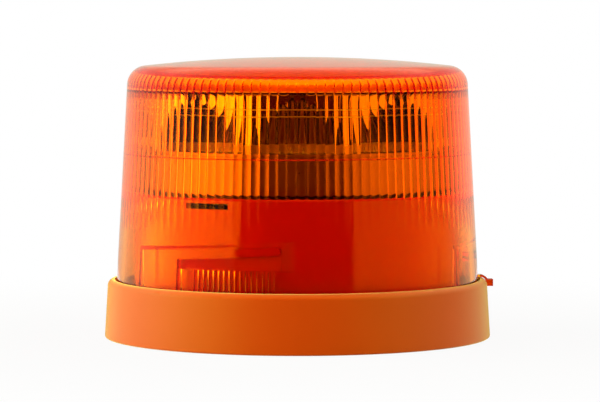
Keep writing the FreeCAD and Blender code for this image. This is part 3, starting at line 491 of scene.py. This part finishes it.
def amber_plastic(name, shape, finish):
    """Clear amber moulding, polished but for the satin underside of its crown and the tab over the rim, with short
    dark dashes of painted shade in the flutes under the shoulder.
    """
    graph, place = fresh_material(name)
    form = DomeForm(shape)
    part = graph.parts(place)
    radius = graph.axis_distance(place)
    ripple = graph.noise(place, 60.0, 2.0)
    haze = graph.noise(place, 25.0)
    tab = graph.smooth_step(part["X"], shape.skirt_radius, shape.skirt_radius + TAB_EDGE)
    satin = crown_underside(graph, form, place, part["Z"], radius) + tab
    shade_dashes = flute_shade_dashes(graph, form, part, radius)
    tint = graph.mix_colour(haze, rgba(finish.amber, 0.97), rgba(finish.amber))
    tint = graph.mix_colour(tab, tint, rgba(TAB_COLOUR))
    sockets = {
        "Base Color": graph.mix_colour(shade_dashes, tint, rgba(DASH_SHADE_COLOUR)),
        "Roughness": 0.02 + 0.02 * haze + 0.45 * satin,
        "IOR": 1.58,
        "Transmission Weight": 1.0,
        "Specular Tint": rgba(finish.amber_sheen),
        "Normal": graph.bump(ripple, 0.02, 0.0002),
    }
    depth = {"Color": rgba(finish.amber_depth), "Density": finish.amber_density}
    volume = graph.node("ShaderNodeVolumeAbsorption", None, depth)["Volume"]
    return graph.principled(sockets, Volume=volume)


def metal(name, colour, roughness, brushing=0.0, foot=None):
    """Bare or plated metal with an uneven polish and, where asked, turning marks and a dark foot of painted shade.
    """
    graph, place = fresh_material(name)
    cloud = graph.noise(place, 120.0)
    height = graph.parts(place)["Z"]
    lines = graph.node("ShaderNodeTexNoise", {"noise_dimensions": "1D"}, {"W": height, "Scale": 6000.0})["Fac"]
    tone = graph.mix_colour(cloud, rgba(colour, 0.92), rgba(colour))
    # The foot is darkened as painted shade where it meets the part below
    if foot is not None:
        bare = graph.smooth_step(height, foot, foot + FOOT_EDGE)
        tone = graph.mix_colour(bare, rgba(colour, FOOT_SHADE), tone)
    return graph.principled({
        "Base Color": tone,
        "Metallic": 1.0,
        "Roughness": roughness * 0.8 + roughness * 0.4 * cloud,
        "Normal": graph.bump(lines, brushing, 0.00005),
    })


def mirror_coat(name, colour):
    """Metallised cups, bright, with fine pale lines across as painted highlights and a satin foot."""
    graph, place = fresh_material(name)
    cloud = graph.noise(place, 120.0)
    height = graph.parts(place)["Z"]
    # Thin pale non-metal lines across the cups, as painted highlights
    painted_highlight = sum(graph.below(graph.maths("ABSOLUTE", height - z), *HIGHLIGHT_EDGE) for z in HIGHLIGHT_LINES)
    satin = graph.below(height, CUP_FOOT, CUP_FOOT + CUP_FOOT_EDGE)
    coat = graph.mix_colour(cloud, rgba(colour, 0.94), rgba(colour))
    coat = graph.mix_colour(satin, coat, rgba(CUP_FOOT_COLOUR))
    return graph.principled({
        "Base Color": graph.mix_colour(painted_highlight, coat, rgba(HIGHLIGHT_COLOUR)),
        "Metallic": 1.0 - 0.9 * painted_highlight,
        "Roughness": 0.05 + 0.02 * cloud + 0.5 * satin,
    })


def black_rubber(name):
    """Soft black rubber, matt and a little dusty."""
    graph, place = fresh_material(name)
    dust = graph.noise(place, 220.0, 5.0)
    skin = graph.noise(place, 2500.0, 2.0)
    return graph.principled({
        "Base Color": graph.mix_colour(dust, rgba((0.012, 0.012, 0.012)), rgba((0.035, 0.035, 0.034))),
        "Roughness": 0.55 + 0.25 * dust,
        "Normal": graph.bump(skin, 0.15, 0.0001),
    })


def solder_mask(name, colour, copper, gleam=0.5, core=None):
    """Circuit board lacquer over copper tracks and, where asked, the bare edge of a round metal core."""
    graph, place = fresh_material(name)
    settings = {"feature": "F1", "distance": "CHEBYCHEV"}
    cells = graph.node("ShaderNodeTexVoronoi", settings, {"Vector": place, "Scale": 260.0, "Randomness": 0.6})
    tracks = graph.smooth_step(cells["Distance"], 0.30, 0.36)
    sockets = {
        "Base Color": graph.mix_colour(tracks, rgba(copper), rgba(colour)),
        "Roughness": 0.28 + 0.15 * graph.noise(place, 300.0),
        "Specular IOR Level": gleam,
        "Normal": graph.bump(1.0 - tracks, 0.2, 0.0001),
    }
    if core is not None:
        radius, bare = core
        edge = graph.smooth_step(graph.axis_distance(place), radius - BARE_EDGE[0], radius - BARE_EDGE[1])
        sockets["Base Color"] = graph.mix_colour(edge, sockets["Base Color"], rgba(bare))
        sockets["Metallic"] = edge
    return graph.principled(sockets)


def clear_silicone(name):
    """Clear encapsulant over a yellow phosphor."""
    graph, place = fresh_material(name)
    glow = graph.noise(place, 900.0, 2.0)
    return graph.principled({
        "Base Color": graph.mix_colour(glow, rgba((0.95, 0.72, 0.14)), rgba((0.98, 0.84, 0.3))),
        "Roughness": 0.08 + 0.06 * glow,
        "IOR": 1.41,
        "Transmission Weight": 0.35,
    })


# Meshes

def at(radius, angle, z):
    """A point round the axis, with the angle in radians from the front."""
    return (radius * math.sin(angle), -radius * math.cos(angle), z)


def arc_point(centre, radius, angle):
    return (centre[0] + radius * math.cos(angle), centre[1] + radius * math.sin(angle))


def spaced(first, last, steps):
    """Evenly spaced values from the first to the last."""
    return [first + (last - first) * i / steps for i in range(steps + 1)]


def level(z):
    """A height that is the same at every angle."""
    return lambda angle: z


def placed(name, data):
    """A new object in the scene."""
    made = bpy.data.objects.new(name, data)
    bpy.context.scene.collection.objects.link(made)
    return made


def fresh_mesh(name, points, faces):
    mesh = bpy.data.meshes.new(name)
    mesh.from_pydata(points, [], faces)
    mesh.validate()
    return mesh


def skinned_mesh(name, rings):
    """A closed mesh through rings of points, of which the first and the last are single points."""
    points = []
    starts = []
    for ring in rings:
        starts.append(len(points))
        points += ring
    faces = []
    for low in range(len(rings) - 1):
        high = low + 1
        for i in range(max(len(rings[low]), len(rings[high]))):
            corners = []
            for ring, step in ((low, i), (low, i + 1), (high, i + 1), (high, i)):
                corner = starts[ring] + step % len(rings[ring])
                if corner not in corners:
                    corners.append(corner)
            faces.append(corners)
    mesh = fresh_mesh(name, points, faces)
    mesh.shade_smooth()
    return mesh


def bar_mesh(name, bars):
    """One mesh of separate closed bars, each given by its sections along the bar."""
    points = []
    faces = []
    for sections in bars:
        start = len(points)
        corners = len(sections[0])
        for section in sections:
            points += section
        last = start + (len(sections) - 1) * corners
        for low in range(start, last, corners):
            for k in range(corners):
                after = (k + 1) % corners
                faces.append((low + corners + k, low + corners + after, low + after, low + k))
        faces.append(tuple(start + k for k in range(corners)))
        faces.append(tuple(last + k for k in reversed(range(corners))))
    return fresh_mesh(name, points, faces)


def joined(mesh, *others):
    """The union of closed meshes."""
    pieces = [placed(data.name, data) for data in (mesh,) + others]
    for piece in pieces[1:]:
        union = pieces[0].modifiers.new("union", "BOOLEAN")
        union.operation = "UNION"
        union.solver = "MANIFOLD"
        union.object = piece
    bpy.context.view_layer.update()
    made = bpy.data.meshes.new_from_object(pieces[0].evaluated_get(bpy.context.evaluated_depsgraph_get()))
    made.name = mesh.name
    for piece in pieces:
        bpy.data.objects.remove(piece)
    return made


def dress(mesh, material):
    """Give a mesh its one material."""
    mesh.materials.clear()
    mesh.materials.append(material)


def show(name, mesh, material, body, slot, *nodes):
    """Put a mesh in the scene as a piece that rides on a body and stands for its CAD nodes."""
    piece = placed(name, mesh)
    dress(mesh, material)
    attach(piece, body)
    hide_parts(*nodes)


def paint(node, material):
    """Give a CAD node its finish."""
    dress(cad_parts[node].data, material)


class DomeForm:
    """Half sections of the dome, as rows of radius, height and flute bulge from the skirt to the apex."""

    def __init__(self, shape):
        self.shape = shape
        self.bottom = DOME_LOW.z
        self.crown_z = DOME_HIGH.z - shape.crown_radius
        self.flute_top = REFLECTOR_HIGH.z + shape.flute_overrun
        self.centre = self.shoulder_centre(0.0, 0.0, shape.shoulder_radius)
        self.inner_fillet = shape.shoulder_radius - shape.wall
        self.inner_centre = self.shoulder_centre(shape.wall, shape.crown_wall, self.inner_fillet)

    def outer(self, z):
        return self.shape.skirt_radius - (z - self.bottom) * math.tan(self.shape.draft)

    def inner(self, z):
        return self.outer(z) - self.shape.wall / math.cos(self.shape.draft)

    def shoulder_centre(self, wall, crown_wall, fillet):
        """Centre of the fillet that touches the wall and the crown, each set in by its thickness."""
        shape = self.shape
        reach = shape.crown_radius - crown_wall - fillet
        start = self.outer(self.crown_z) - (wall + fillet) / math.cos(shape.draft)
        along = (-math.sin(shape.draft), math.cos(shape.draft))
        middle = -start * along[0]
        rise = middle + math.sqrt(middle ** 2 - start ** 2 + reach ** 2)
        return (start + rise * along[0], self.crown_z + rise * along[1])

    def crown_angle(self, centre):
        return math.atan2(centre[1] - self.crown_z, centre[0])

    def wall_rows(self, low, high, steps, radius, sag):
        return [(radius(z), z, sag) for z in spaced(low, high, steps)]

    def turn_rows(self, centre, fillet, first, last, steps, sag):
        return [arc_point(centre, fillet, angle) + (sag,) for angle in spaced(first, last, steps)]

    def crown_rows(self, centre, inset):
        sphere = self.shape.crown_radius - inset
        angles = spaced(self.crown_angle(centre), math.pi / 2.0, CROWN_ROWS)[1:-1]
        rows = [arc_point((0.0, self.crown_z), sphere, angle) + (0.0,) for angle in angles]
        return rows + [(0.0, self.crown_z + sphere, 0.0)]

    def outside(self):
        draft, fillet = self.shape.draft, self.shape.shoulder_radius
        tangent = arc_point(self.centre, fillet, draft)
        rows = self.wall_rows(self.bottom, tangent[1], WALL_ROWS, self.outer, 0.0)
        last = self.crown_angle(self.centre)
        rows += self.turn_rows(self.centre, fillet, draft, last, SHOULDER_ROWS, 0.0)[1:]
        return rows + self.crown_rows(self.centre, 0.0)

    def inside(self):
        """Smooth skirt, fading flutes, two bands, fluted shoulder and smooth crown."""
        fade_low = TOWER_HIGH.z - self.shape.fade_depth
        rows = self.wall_rows(self.bottom, fade_low, LONG_ROWS, self.inner, 0.0)[:-1]
        rows += self.fading_rows(fade_low, TOWER_HIGH.z - self.shape.flute_taper)
        rows += self.band_rows() + self.shoulder_rows()
        return rows + self.crown_rows(self.inner_centre, self.shape.crown_wall)

    def fading_rows(self, low, high):
        rows = []
        for share in spaced(0.0, 1.0, FADE_ROWS):
            z = low + (high - low) * share
            rows.append((self.inner(z), z, self.shape.fade_sag * share))
        return rows

    def band_rows(self):
        """The lower and the upper band of flutes, each with the groove above it."""
        shape = self.shape
        groove, step = HEAT_SINK_HIGH.z, shape.band_groove
        top, notch = self.flute_top, shape.shoulder_groove
        rows = self.wall_rows(TOWER_HIGH.z, groove - step, SHORT_ROWS, self.inner, shape.lower_sag)
        rows.append((self.inner(groove) + step, groove, 0.0))
        rows += self.wall_rows(groove + step, top - 2.0 * notch, LONG_ROWS, self.inner, shape.upper_sag)
        rows.append((self.inner(top) + notch, top, 0.0))
        return rows

    def shoulder_rows(self):
        """The shoulder's flutes with their round ends, then the smooth rest of the fillet."""
        shape = self.shape
        sag = shape.shoulder_sag
        turn = (self.inner_centre, self.inner_fillet)
        tangent = arc_point(*turn, shape.draft)
        last_flute = shape.draft + shape.shoulder_turn
        start = self.flute_top + shape.shoulder_groove / 4.0
        rows = self.wall_rows(start, tangent[1], 2, self.inner, sag)[:-1]
        rows += self.turn_rows(*turn, shape.draft, last_flute - shape.shoulder_round, SHORT_ROWS, sag)
        for share in spaced(0.0, 1.0, LONG_ROWS)[1:]:
            angle = last_flute - shape.shoulder_round * (1.0 - share)
            rows.append(arc_point(*turn, angle) + (sag * math.sqrt(1.0 - share * share),))
        return rows + self.turn_rows(*turn, last_flute, self.crown_angle(turn[0]), SHORT_ROWS, 0.0)[1:]

    def ring(self, row):
        """The points of one row round the axis, bulging inwards between the flutes' edges."""
        radius, z, sag = row
        if radius == 0.0:
            return [(0.0, 0.0, z)]
        shape = self.shape
        count = shape.flute_count * shape.flute_points
        points = []
        for i in range(count):
            across = 2.0 * (i % shape.flute_points) / shape.flute_points - 1.0
            points.append(at(radius - sag * (1.0 - across * across), 2.0 * math.pi * i / count, z))
        return points


class BayonetForm:
    """The ledges, frames and combs inside the dome's skirt, and the tab over the rim, as closed bars."""

    def __init__(self, shape, form):
        self.shape = shape
        self.form = form
        self.layers = []
        top = shape.ledge_bottom + shape.ledge_height + shape.ledge_rise
        self.frame_end = shape.frame_start + shape.frame_span
        self.stop_start = self.frame_end - shape.stop_span
        self.ledge_start = shape.frame_start + shape.channel_span + shape.frame_rib / form.inner(top)

    def ledge_top(self, angle):
        climb = (angle - self.ledge_start) / (self.stop_start - self.ledge_start)
        return self.shape.ledge_bottom + self.shape.ledge_height + self.shape.ledge_rise * climb

    def roof_low(self, angle):
        return self.ledge_top(angle) + self.shape.lug_room

    def roof_high(self, angle):
        return self.roof_low(angle) + self.shape.frame_rib

    def root(self, z):
        """The bars reach half way into the dome's wall."""
        return self.form.inner(z) + self.shape.wall / 2.0

    def bar(self, radius, start, end, low, high):
        """One bar round the axis between two angles, with its underside and top as functions of the angle."""
        steps = max(2, round(math.degrees(end - start)))
        for turn in range(self.shape.bayonet_count):
            shift = turn * 2.0 * math.pi / self.shape.bayonet_count
            sections = []
            for angle in spaced(start, end, steps):
                bottom, top = low(angle), high(angle)
                place = angle + shift
                sections.append([
                    at(radius, place, bottom), at(self.root(bottom), place, bottom),
                    at(self.root(top), place, top), at(radius, place, top),
                ])
            self.layers[-1].append(sections)

    def build(self):
        """Layers of bars: the bars of one layer stay clear of each other."""
        shape = self.shape
        skirt = level(self.form.bottom)
        ledge_low = level(shape.ledge_bottom)
        rib = shape.frame_rib / shape.frame_radius
        self.layers.append([])
        self.bar(shape.ledge_radius, self.ledge_start, self.stop_start, ledge_low, self.ledge_top)
        self.bar(shape.frame_radius, shape.frame_start, self.frame_end, self.roof_low, self.roof_high)
        self.layers.append([])
        stop_top = level(self.roof_high(self.stop_start))
        self.bar(shape.ledge_radius, self.stop_start, self.frame_end, ledge_low, stop_top)
        frame_top = level(self.roof_high(shape.frame_start))
        self.bar(shape.frame_radius, shape.frame_start, shape.frame_start + rib, skirt, frame_top)
        comb_radius = self.form.inner(shape.ledge_bottom) - shape.comb_depth
        self.bar(comb_radius, self.ledge_start, self.ledge_start + rib, skirt, ledge_low)
        width = shape.comb_rib / shape.frame_radius
        first = self.ledge_start + shape.comb_start
        pitch = (self.stop_start - shape.comb_end - first) / shape.comb_count
        comb_low = level(self.form.bottom + shape.comb_seat)
        for i in range(shape.comb_count):
            start = first + i * pitch
            self.bar(comb_radius, start, start + width, comb_low, ledge_low)
        self.layers[-1].append(self.tab())
        return self.layers

    def tab(self):
        """Sections of the tab: over the rim's round and down to the nub at its end."""
        shape = self.shape
        centre_z = BASE_HIGH.z - shape.rim_fillet
        centre = (BASE_HIGH.y - centre_z * math.tan(BASE_DRAFT) - shape.rim_fillet, centre_z)
        inner = shape.rim_fillet + shape.tab_clearance
        outer = inner + shape.tab_thickness
        root = self.form.outer(BASE_HIGH.z) - shape.wall / 2.0
        reach = DOME_HIGH.x / math.cos(shape.tab_angle - math.pi / 2.0)
        nub_top = arc_point(centre, outer, TAB_BEND[-1])[1]
        nub_low = nub_top - shape.nub_height
        outline = [(root, centre_z + inner)]
        outline += [arc_point(centre, inner, turn) for turn in TAB_BEND + (0.0,)]
        outline += [(centre[0] + inner, nub_low), (reach, nub_low), (reach, nub_top)]
        outline += [arc_point(centre, outer, turn) for turn in reversed(TAB_BEND)]
        outline.append((root, centre_z + outer))
        half = shape.tab_width / centre[0] / 2.0
        angles = spaced(shape.tab_angle - half, shape.tab_angle + half, TAB_STEPS)
        return [[at(radius, angle, z) for radius, z in outline] for angle in angles]


# Operators, one for each piece or group of like pieces

class BEACON_OT_dome(bpy.types.Operator):
    """Build the amber dome with its flutes, bayonets and tab"""

    bl_idname = "beacon.dome"
    bl_label = "Amber Dome"

    def execute(self, context):
        shape = context.scene.beacon_shape
        form = DomeForm(shape)
        rows = list(reversed(form.inside())) + form.outside()
        mesh = skinned_mesh("amber_dome", [form.ring(row) for row in rows])
        mesh = joined(mesh, *[bar_mesh("bayonets", bars) for bars in BayonetForm(shape, form).build()])
        mesh.shade_smooth()
        mesh.set_sharp_from_angle(angle=SHARP_ANGLE)
        material = amber_plastic("amber_lens", shape, context.scene.beacon_finish)
        show("amber_dome", mesh, material, "dome", "amber_lens", "dome_lens")
        return {"FINISHED"}


class BEACON_OT_mouldings(bpy.types.Operator):
    """Finish the orange base ring and the tower under the dome"""

    bl_idname = "beacon.mouldings"
    bl_label = "Base and Tower"

    def execute(self, context):
        finish = context.scene.beacon_finish
        # The base's rim is painted lighter inside, as painted light
        paint("base_housing", moulded_plastic(
            "orange_satin", finish.orange, 0.42, gleam=0.45, tint=BASE_GLEAM, sheen=1.0, core=RIM_PAINTED_LIGHT))
        # The tower is painted dark inside, as painted shade
        paint("tower_housing", moulded_plastic(
            "orange_gloss", finish.tower_orange, 0.10, grain=0.01, gleam=0.5, tint=TOWER_GLEAM, core=TOWER_PAINTED_SHADE))
        return {"FINISHED"}


class BEACON_OT_light_module(bpy.types.Operator):
    """Finish the mirrored reflectors, the LEDs, their board and the heat sink"""

    bl_idname = "beacon.light_module"
    bl_label = "Light Module"

    def execute(self, context):
        finish = context.scene.beacon_finish
        paint("reflector_ring", mirror_coat("reflector_mirror", finish.mirror))
        paint("heat_sink", metal("heat_sink_aluminium", finish.aluminium, 0.3, brushing=0.1, foot=SINK_FOOT))
        paint("reflector_cap", moulded_plastic("cap_white", (0.86, 0.86, 0.84), 0.4))
        paint("led_board", solder_mask(
            "board_black", (0.02, 0.015, 0.012), (0.04, 0.03, 0.025),
            gleam=0.6, core=(LED_BOARD_HIGH.y, finish.aluminium)))
        paint("led_packages", moulded_plastic("led_ceramic", (0.85, 0.85, 0.82), 0.5))
        paint("led_domes", clear_silicone("led_clear"))
        return {"FINISHED"}


class BEACON_OT_electronics(bpy.types.Operator):
    """Finish the driver board and what stands on it"""

    bl_idname = "beacon.electronics"
    bl_label = "Driver Electronics"

    def execute(self, context):
        paint("driver_board", solder_mask("board_green", (0.02, 0.14, 0.06), (0.05, 0.24, 0.10)))
        paint("inductor", moulded_plastic("ferrite", (0.05, 0.045, 0.045), 0.6, grain=0.2))
        paint("capacitors", metal("capacitor_can", (0.72, 0.73, 0.75), 0.28))
        chip = moulded_plastic("chip_black", (0.02, 0.02, 0.022), 0.5, grain=0.1)
        for node in ("power_transistors", "controller_chip"):
            paint(node, chip)
        paint("terminal_block", moulded_plastic("terminal_plastic", (0.03, 0.25, 0.09), 0.35))
        paint("led_connector", moulded_plastic("connector_plastic", (0.78, 0.74, 0.63), 0.4))
        paint("led_leads", moulded_plastic("lead_insulation", (0.45, 0.02, 0.015), 0.45))
        return {"FINISHED"}


class BEACON_OT_fixings(bpy.types.Operator):
    """Finish the seals, the screws and the threaded inserts"""

    bl_idname = "beacon.fixings"
    bl_label = "Seals and Fixings"

    def execute(self, context):
        rubber = black_rubber("black_rubber")
        for node in ("base_gasket", "cable_grommet"):
            paint(node, rubber)
        paint("dome_seal", moulded_plastic("seal_silicone", (0.71, 0.6, 0.42), 0.6))
        steel = metal("screw_steel", (0.62, 0.62, 0.64), 0.32, brushing=0.05)
        for node in ("tower_screws", "board_screws", "module_screws", "reflector_screws"):
            paint(node, steel)
        paint("mounting_inserts", metal("insert_brass", (0.72, 0.5, 0.18), 0.3, brushing=0.1))
        paint("vent_plug", moulded_plastic("vent_plastic", (0.75, 0.75, 0.73), 0.6))
        return {"FINISHED"}


class BEACON_OT_stage(bpy.types.Operator):
    """Set up the studio: camera, soft lights and pale floor"""

    bl_idname = "beacon.stage"
    bl_label = "Studio"

    def execute(self, context):
        studio = context.scene.beacon_studio
        self.place_camera(context, studio)
        self.light_world(context, studio)
        self.lay_floor(studio)
        context.scene.view_settings.view_transform = "Standard"
        context.scene.cycles.max_bounces = 40
        context.scene.cycles.glossy_bounces = 32
        context.scene.cycles.transmission_bounces = 32
        return {"FINISHED"}

    def place_camera(self, context, studio):
        data = bpy.data.cameras.new("studio_camera")
        data.lens = studio.lens
        data.sensor_width = 36.0
        camera = placed("studio_camera", data)
        camera.location = (studio.camera_side, -studio.camera_distance, studio.camera_height)
        camera.rotation_euler = (math.pi / 2.0 - studio.camera_tilt, 0.0, 0.0)
        context.scene.camera = camera

    def light_world(self, context, studio):
        """White behind the beacon and for the camera, a soft light each side, a dim front and a bright ceiling."""
        context.scene.world = bpy.data.worlds.new("studio_world")
        graph = Graph(context.scene.world)
        part = graph.parts(graph.node("ShaderNodeTexCoord")["Generated"])
        swing = graph.swing(part)
        turn = graph.maths("ABSOLUTE", swing)
        left = graph.smooth_step(swing * -1.0, *LEFT_EDGE)
        right = graph.smooth_step(swing, *RIGHT_EDGE)
        flank = graph.smooth_step(turn, *FLANK_EDGE)
        rear = graph.smooth_step(turn, *REAR_EDGE)
        rise = 1.0 + studio.side_rise * graph.smooth_step(turn, *RISE_EDGE)
        top = graph.smooth_step(part["Z"], *CEILING_EDGE)
        high = graph.smooth_step(part["Z"], *HIGH_EDGE)
        crest = graph.smooth_step(turn, *CREST_EDGE) * graph.smooth_step(part["Z"], *CREST_RISE)
        dim = (1.0 - left) * (1.0 - right) * (1.0 - top)
        path = graph.node("ShaderNodeLightPath")
        seen = path["Is Camera Ray"]
        through = path["Is Transmission Ray"]
        mirrored = path["Is Glossy Ray"] * (1.0 - through)

        right_light = blend(through, studio.right_light, studio.right_inside) + studio.right_high * high
        sides = left * studio.left_light * rise + right * right_light
        sides = sides * blend(mirrored, 1.0, studio.gleam_share)
        flank_light = blend(mirrored, studio.flank_light, studio.flank_gleam)
        light = blend(flank, sides + dim * studio.front_light, flank_light)
        light = blend(rear, light, blend(through, studio.rear_light, 1.0))
        light = blend(crest * through, light, studio.back_high)
        ceiling = blend(through, studio.top_light, studio.dome_top_light)
        light = blend(top, light, blend(mirrored, ceiling, studio.top_gleam))
        hue = graph.mix_colour(dim, rgba(studio.light_hue), rgba(studio.front_hue))
        hue = graph.mix_colour(top, hue, rgba(studio.ceiling_hue))
        sockets = {"Color": graph.mix_colour(seen, hue, rgba(WHITE)), "Strength": blend(seen, light, 1.0)}
        surface = graph.node("ShaderNodeBackground", None, sockets)["Background"]
        graph.node("ShaderNodeOutputWorld", None, {"Surface": surface})

    def lay_floor(self, studio):
        """A wide pale floor that the camera sees nearly white, with the beacon's own shadow on it."""
        corners = [at(studio.floor_radius, math.radians(step), 0.0) for step in range(0, 360, 5)]
        mesh = fresh_mesh("studio_floor", corners, [range(len(corners))])
        floor = placed("studio_floor", mesh)
        floor.location.z = -FLOOR_DROP
        graph, place = fresh_material("studio_floor")
        cloud = graph.noise(place, 8.0)
        paper = graph.mix_colour(cloud, rgba(studio.floor_paint, 0.98), rgba(studio.floor_paint))
        matt = graph.node("ShaderNodeBsdfDiffuse", None, {"Color": paper})["BSDF"]
        white = graph.node("ShaderNodeEmission", None, {"Strength": 1.0})["Emission"]
        away = graph.vector_maths("LENGTH", "Value", place)
        far = graph.smooth_step(away, FLOOR_NEAR, FLOOR_FAR * studio.floor_radius)
        path = graph.node("ShaderNodeLightPath")
        clear = graph.maths("MAXIMUM", path["Is Glossy Ray"], path["Is Transmission Ray"])
        seen = graph.maths("MAXIMUM", path["Is Camera Ray"], clear) * blend(far, FLOOR_WHITE, 1.0)
        surface = graph.node("ShaderNodeMixShader", None, {0: seen, 1: matt, 2: white})["Shader"]
        dress(mesh, graph.closed(Surface=surface))


class BEACON_PT_sidebar(bpy.types.Panel):
    """Lists the beacon's sizes, finishes and operators"""

    bl_idname = "BEACON_PT_sidebar"
    bl_label = "Strobe Beacon"
    bl_space_type = "VIEW_3D"
    bl_region_type = "UI"
    bl_category = "Beacon"

    def draw(self, context):
        for group in (context.scene.beacon_shape, context.scene.beacon_finish, context.scene.beacon_studio):
            box = self.layout.box()
            for name in group.__annotations__:
                box.prop(group, name)
        for step in STEPS:
            self.layout.operator(step.bl_idname)


STEPS = (
    BEACON_OT_dome,
    BEACON_OT_mouldings,
    BEACON_OT_light_module,
    BEACON_OT_electronics,
    BEACON_OT_fixings,
    BEACON_OT_stage,
)
CLASSES = (BeaconShape, BeaconFinish, BeaconStudio) + STEPS + (BEACON_PT_sidebar,)


def register():
    for cls in CLASSES:
        bpy.utils.register_class(cls)
    bpy.types.Scene.beacon_shape = bpy.props.PointerProperty(type=BeaconShape)
    bpy.types.Scene.beacon_finish = bpy.props.PointerProperty(type=BeaconFinish)
    bpy.types.Scene.beacon_studio = bpy.props.PointerProperty(type=BeaconStudio)


def unregister():
    del bpy.types.Scene.beacon_studio
    del bpy.types.Scene.beacon_finish
    del bpy.types.Scene.beacon_shape
    for cls in reversed(CLASSES):
        bpy.utils.unregister_class(cls)


def main():
    register()
    bpy.ops.beacon.dome()
    bpy.ops.beacon.mouldings()
    bpy.ops.beacon.light_module()
    bpy.ops.beacon.electronics()
    bpy.ops.beacon.fixings()
    bpy.ops.beacon.stage()


if __name__ == "__main__":
    main()
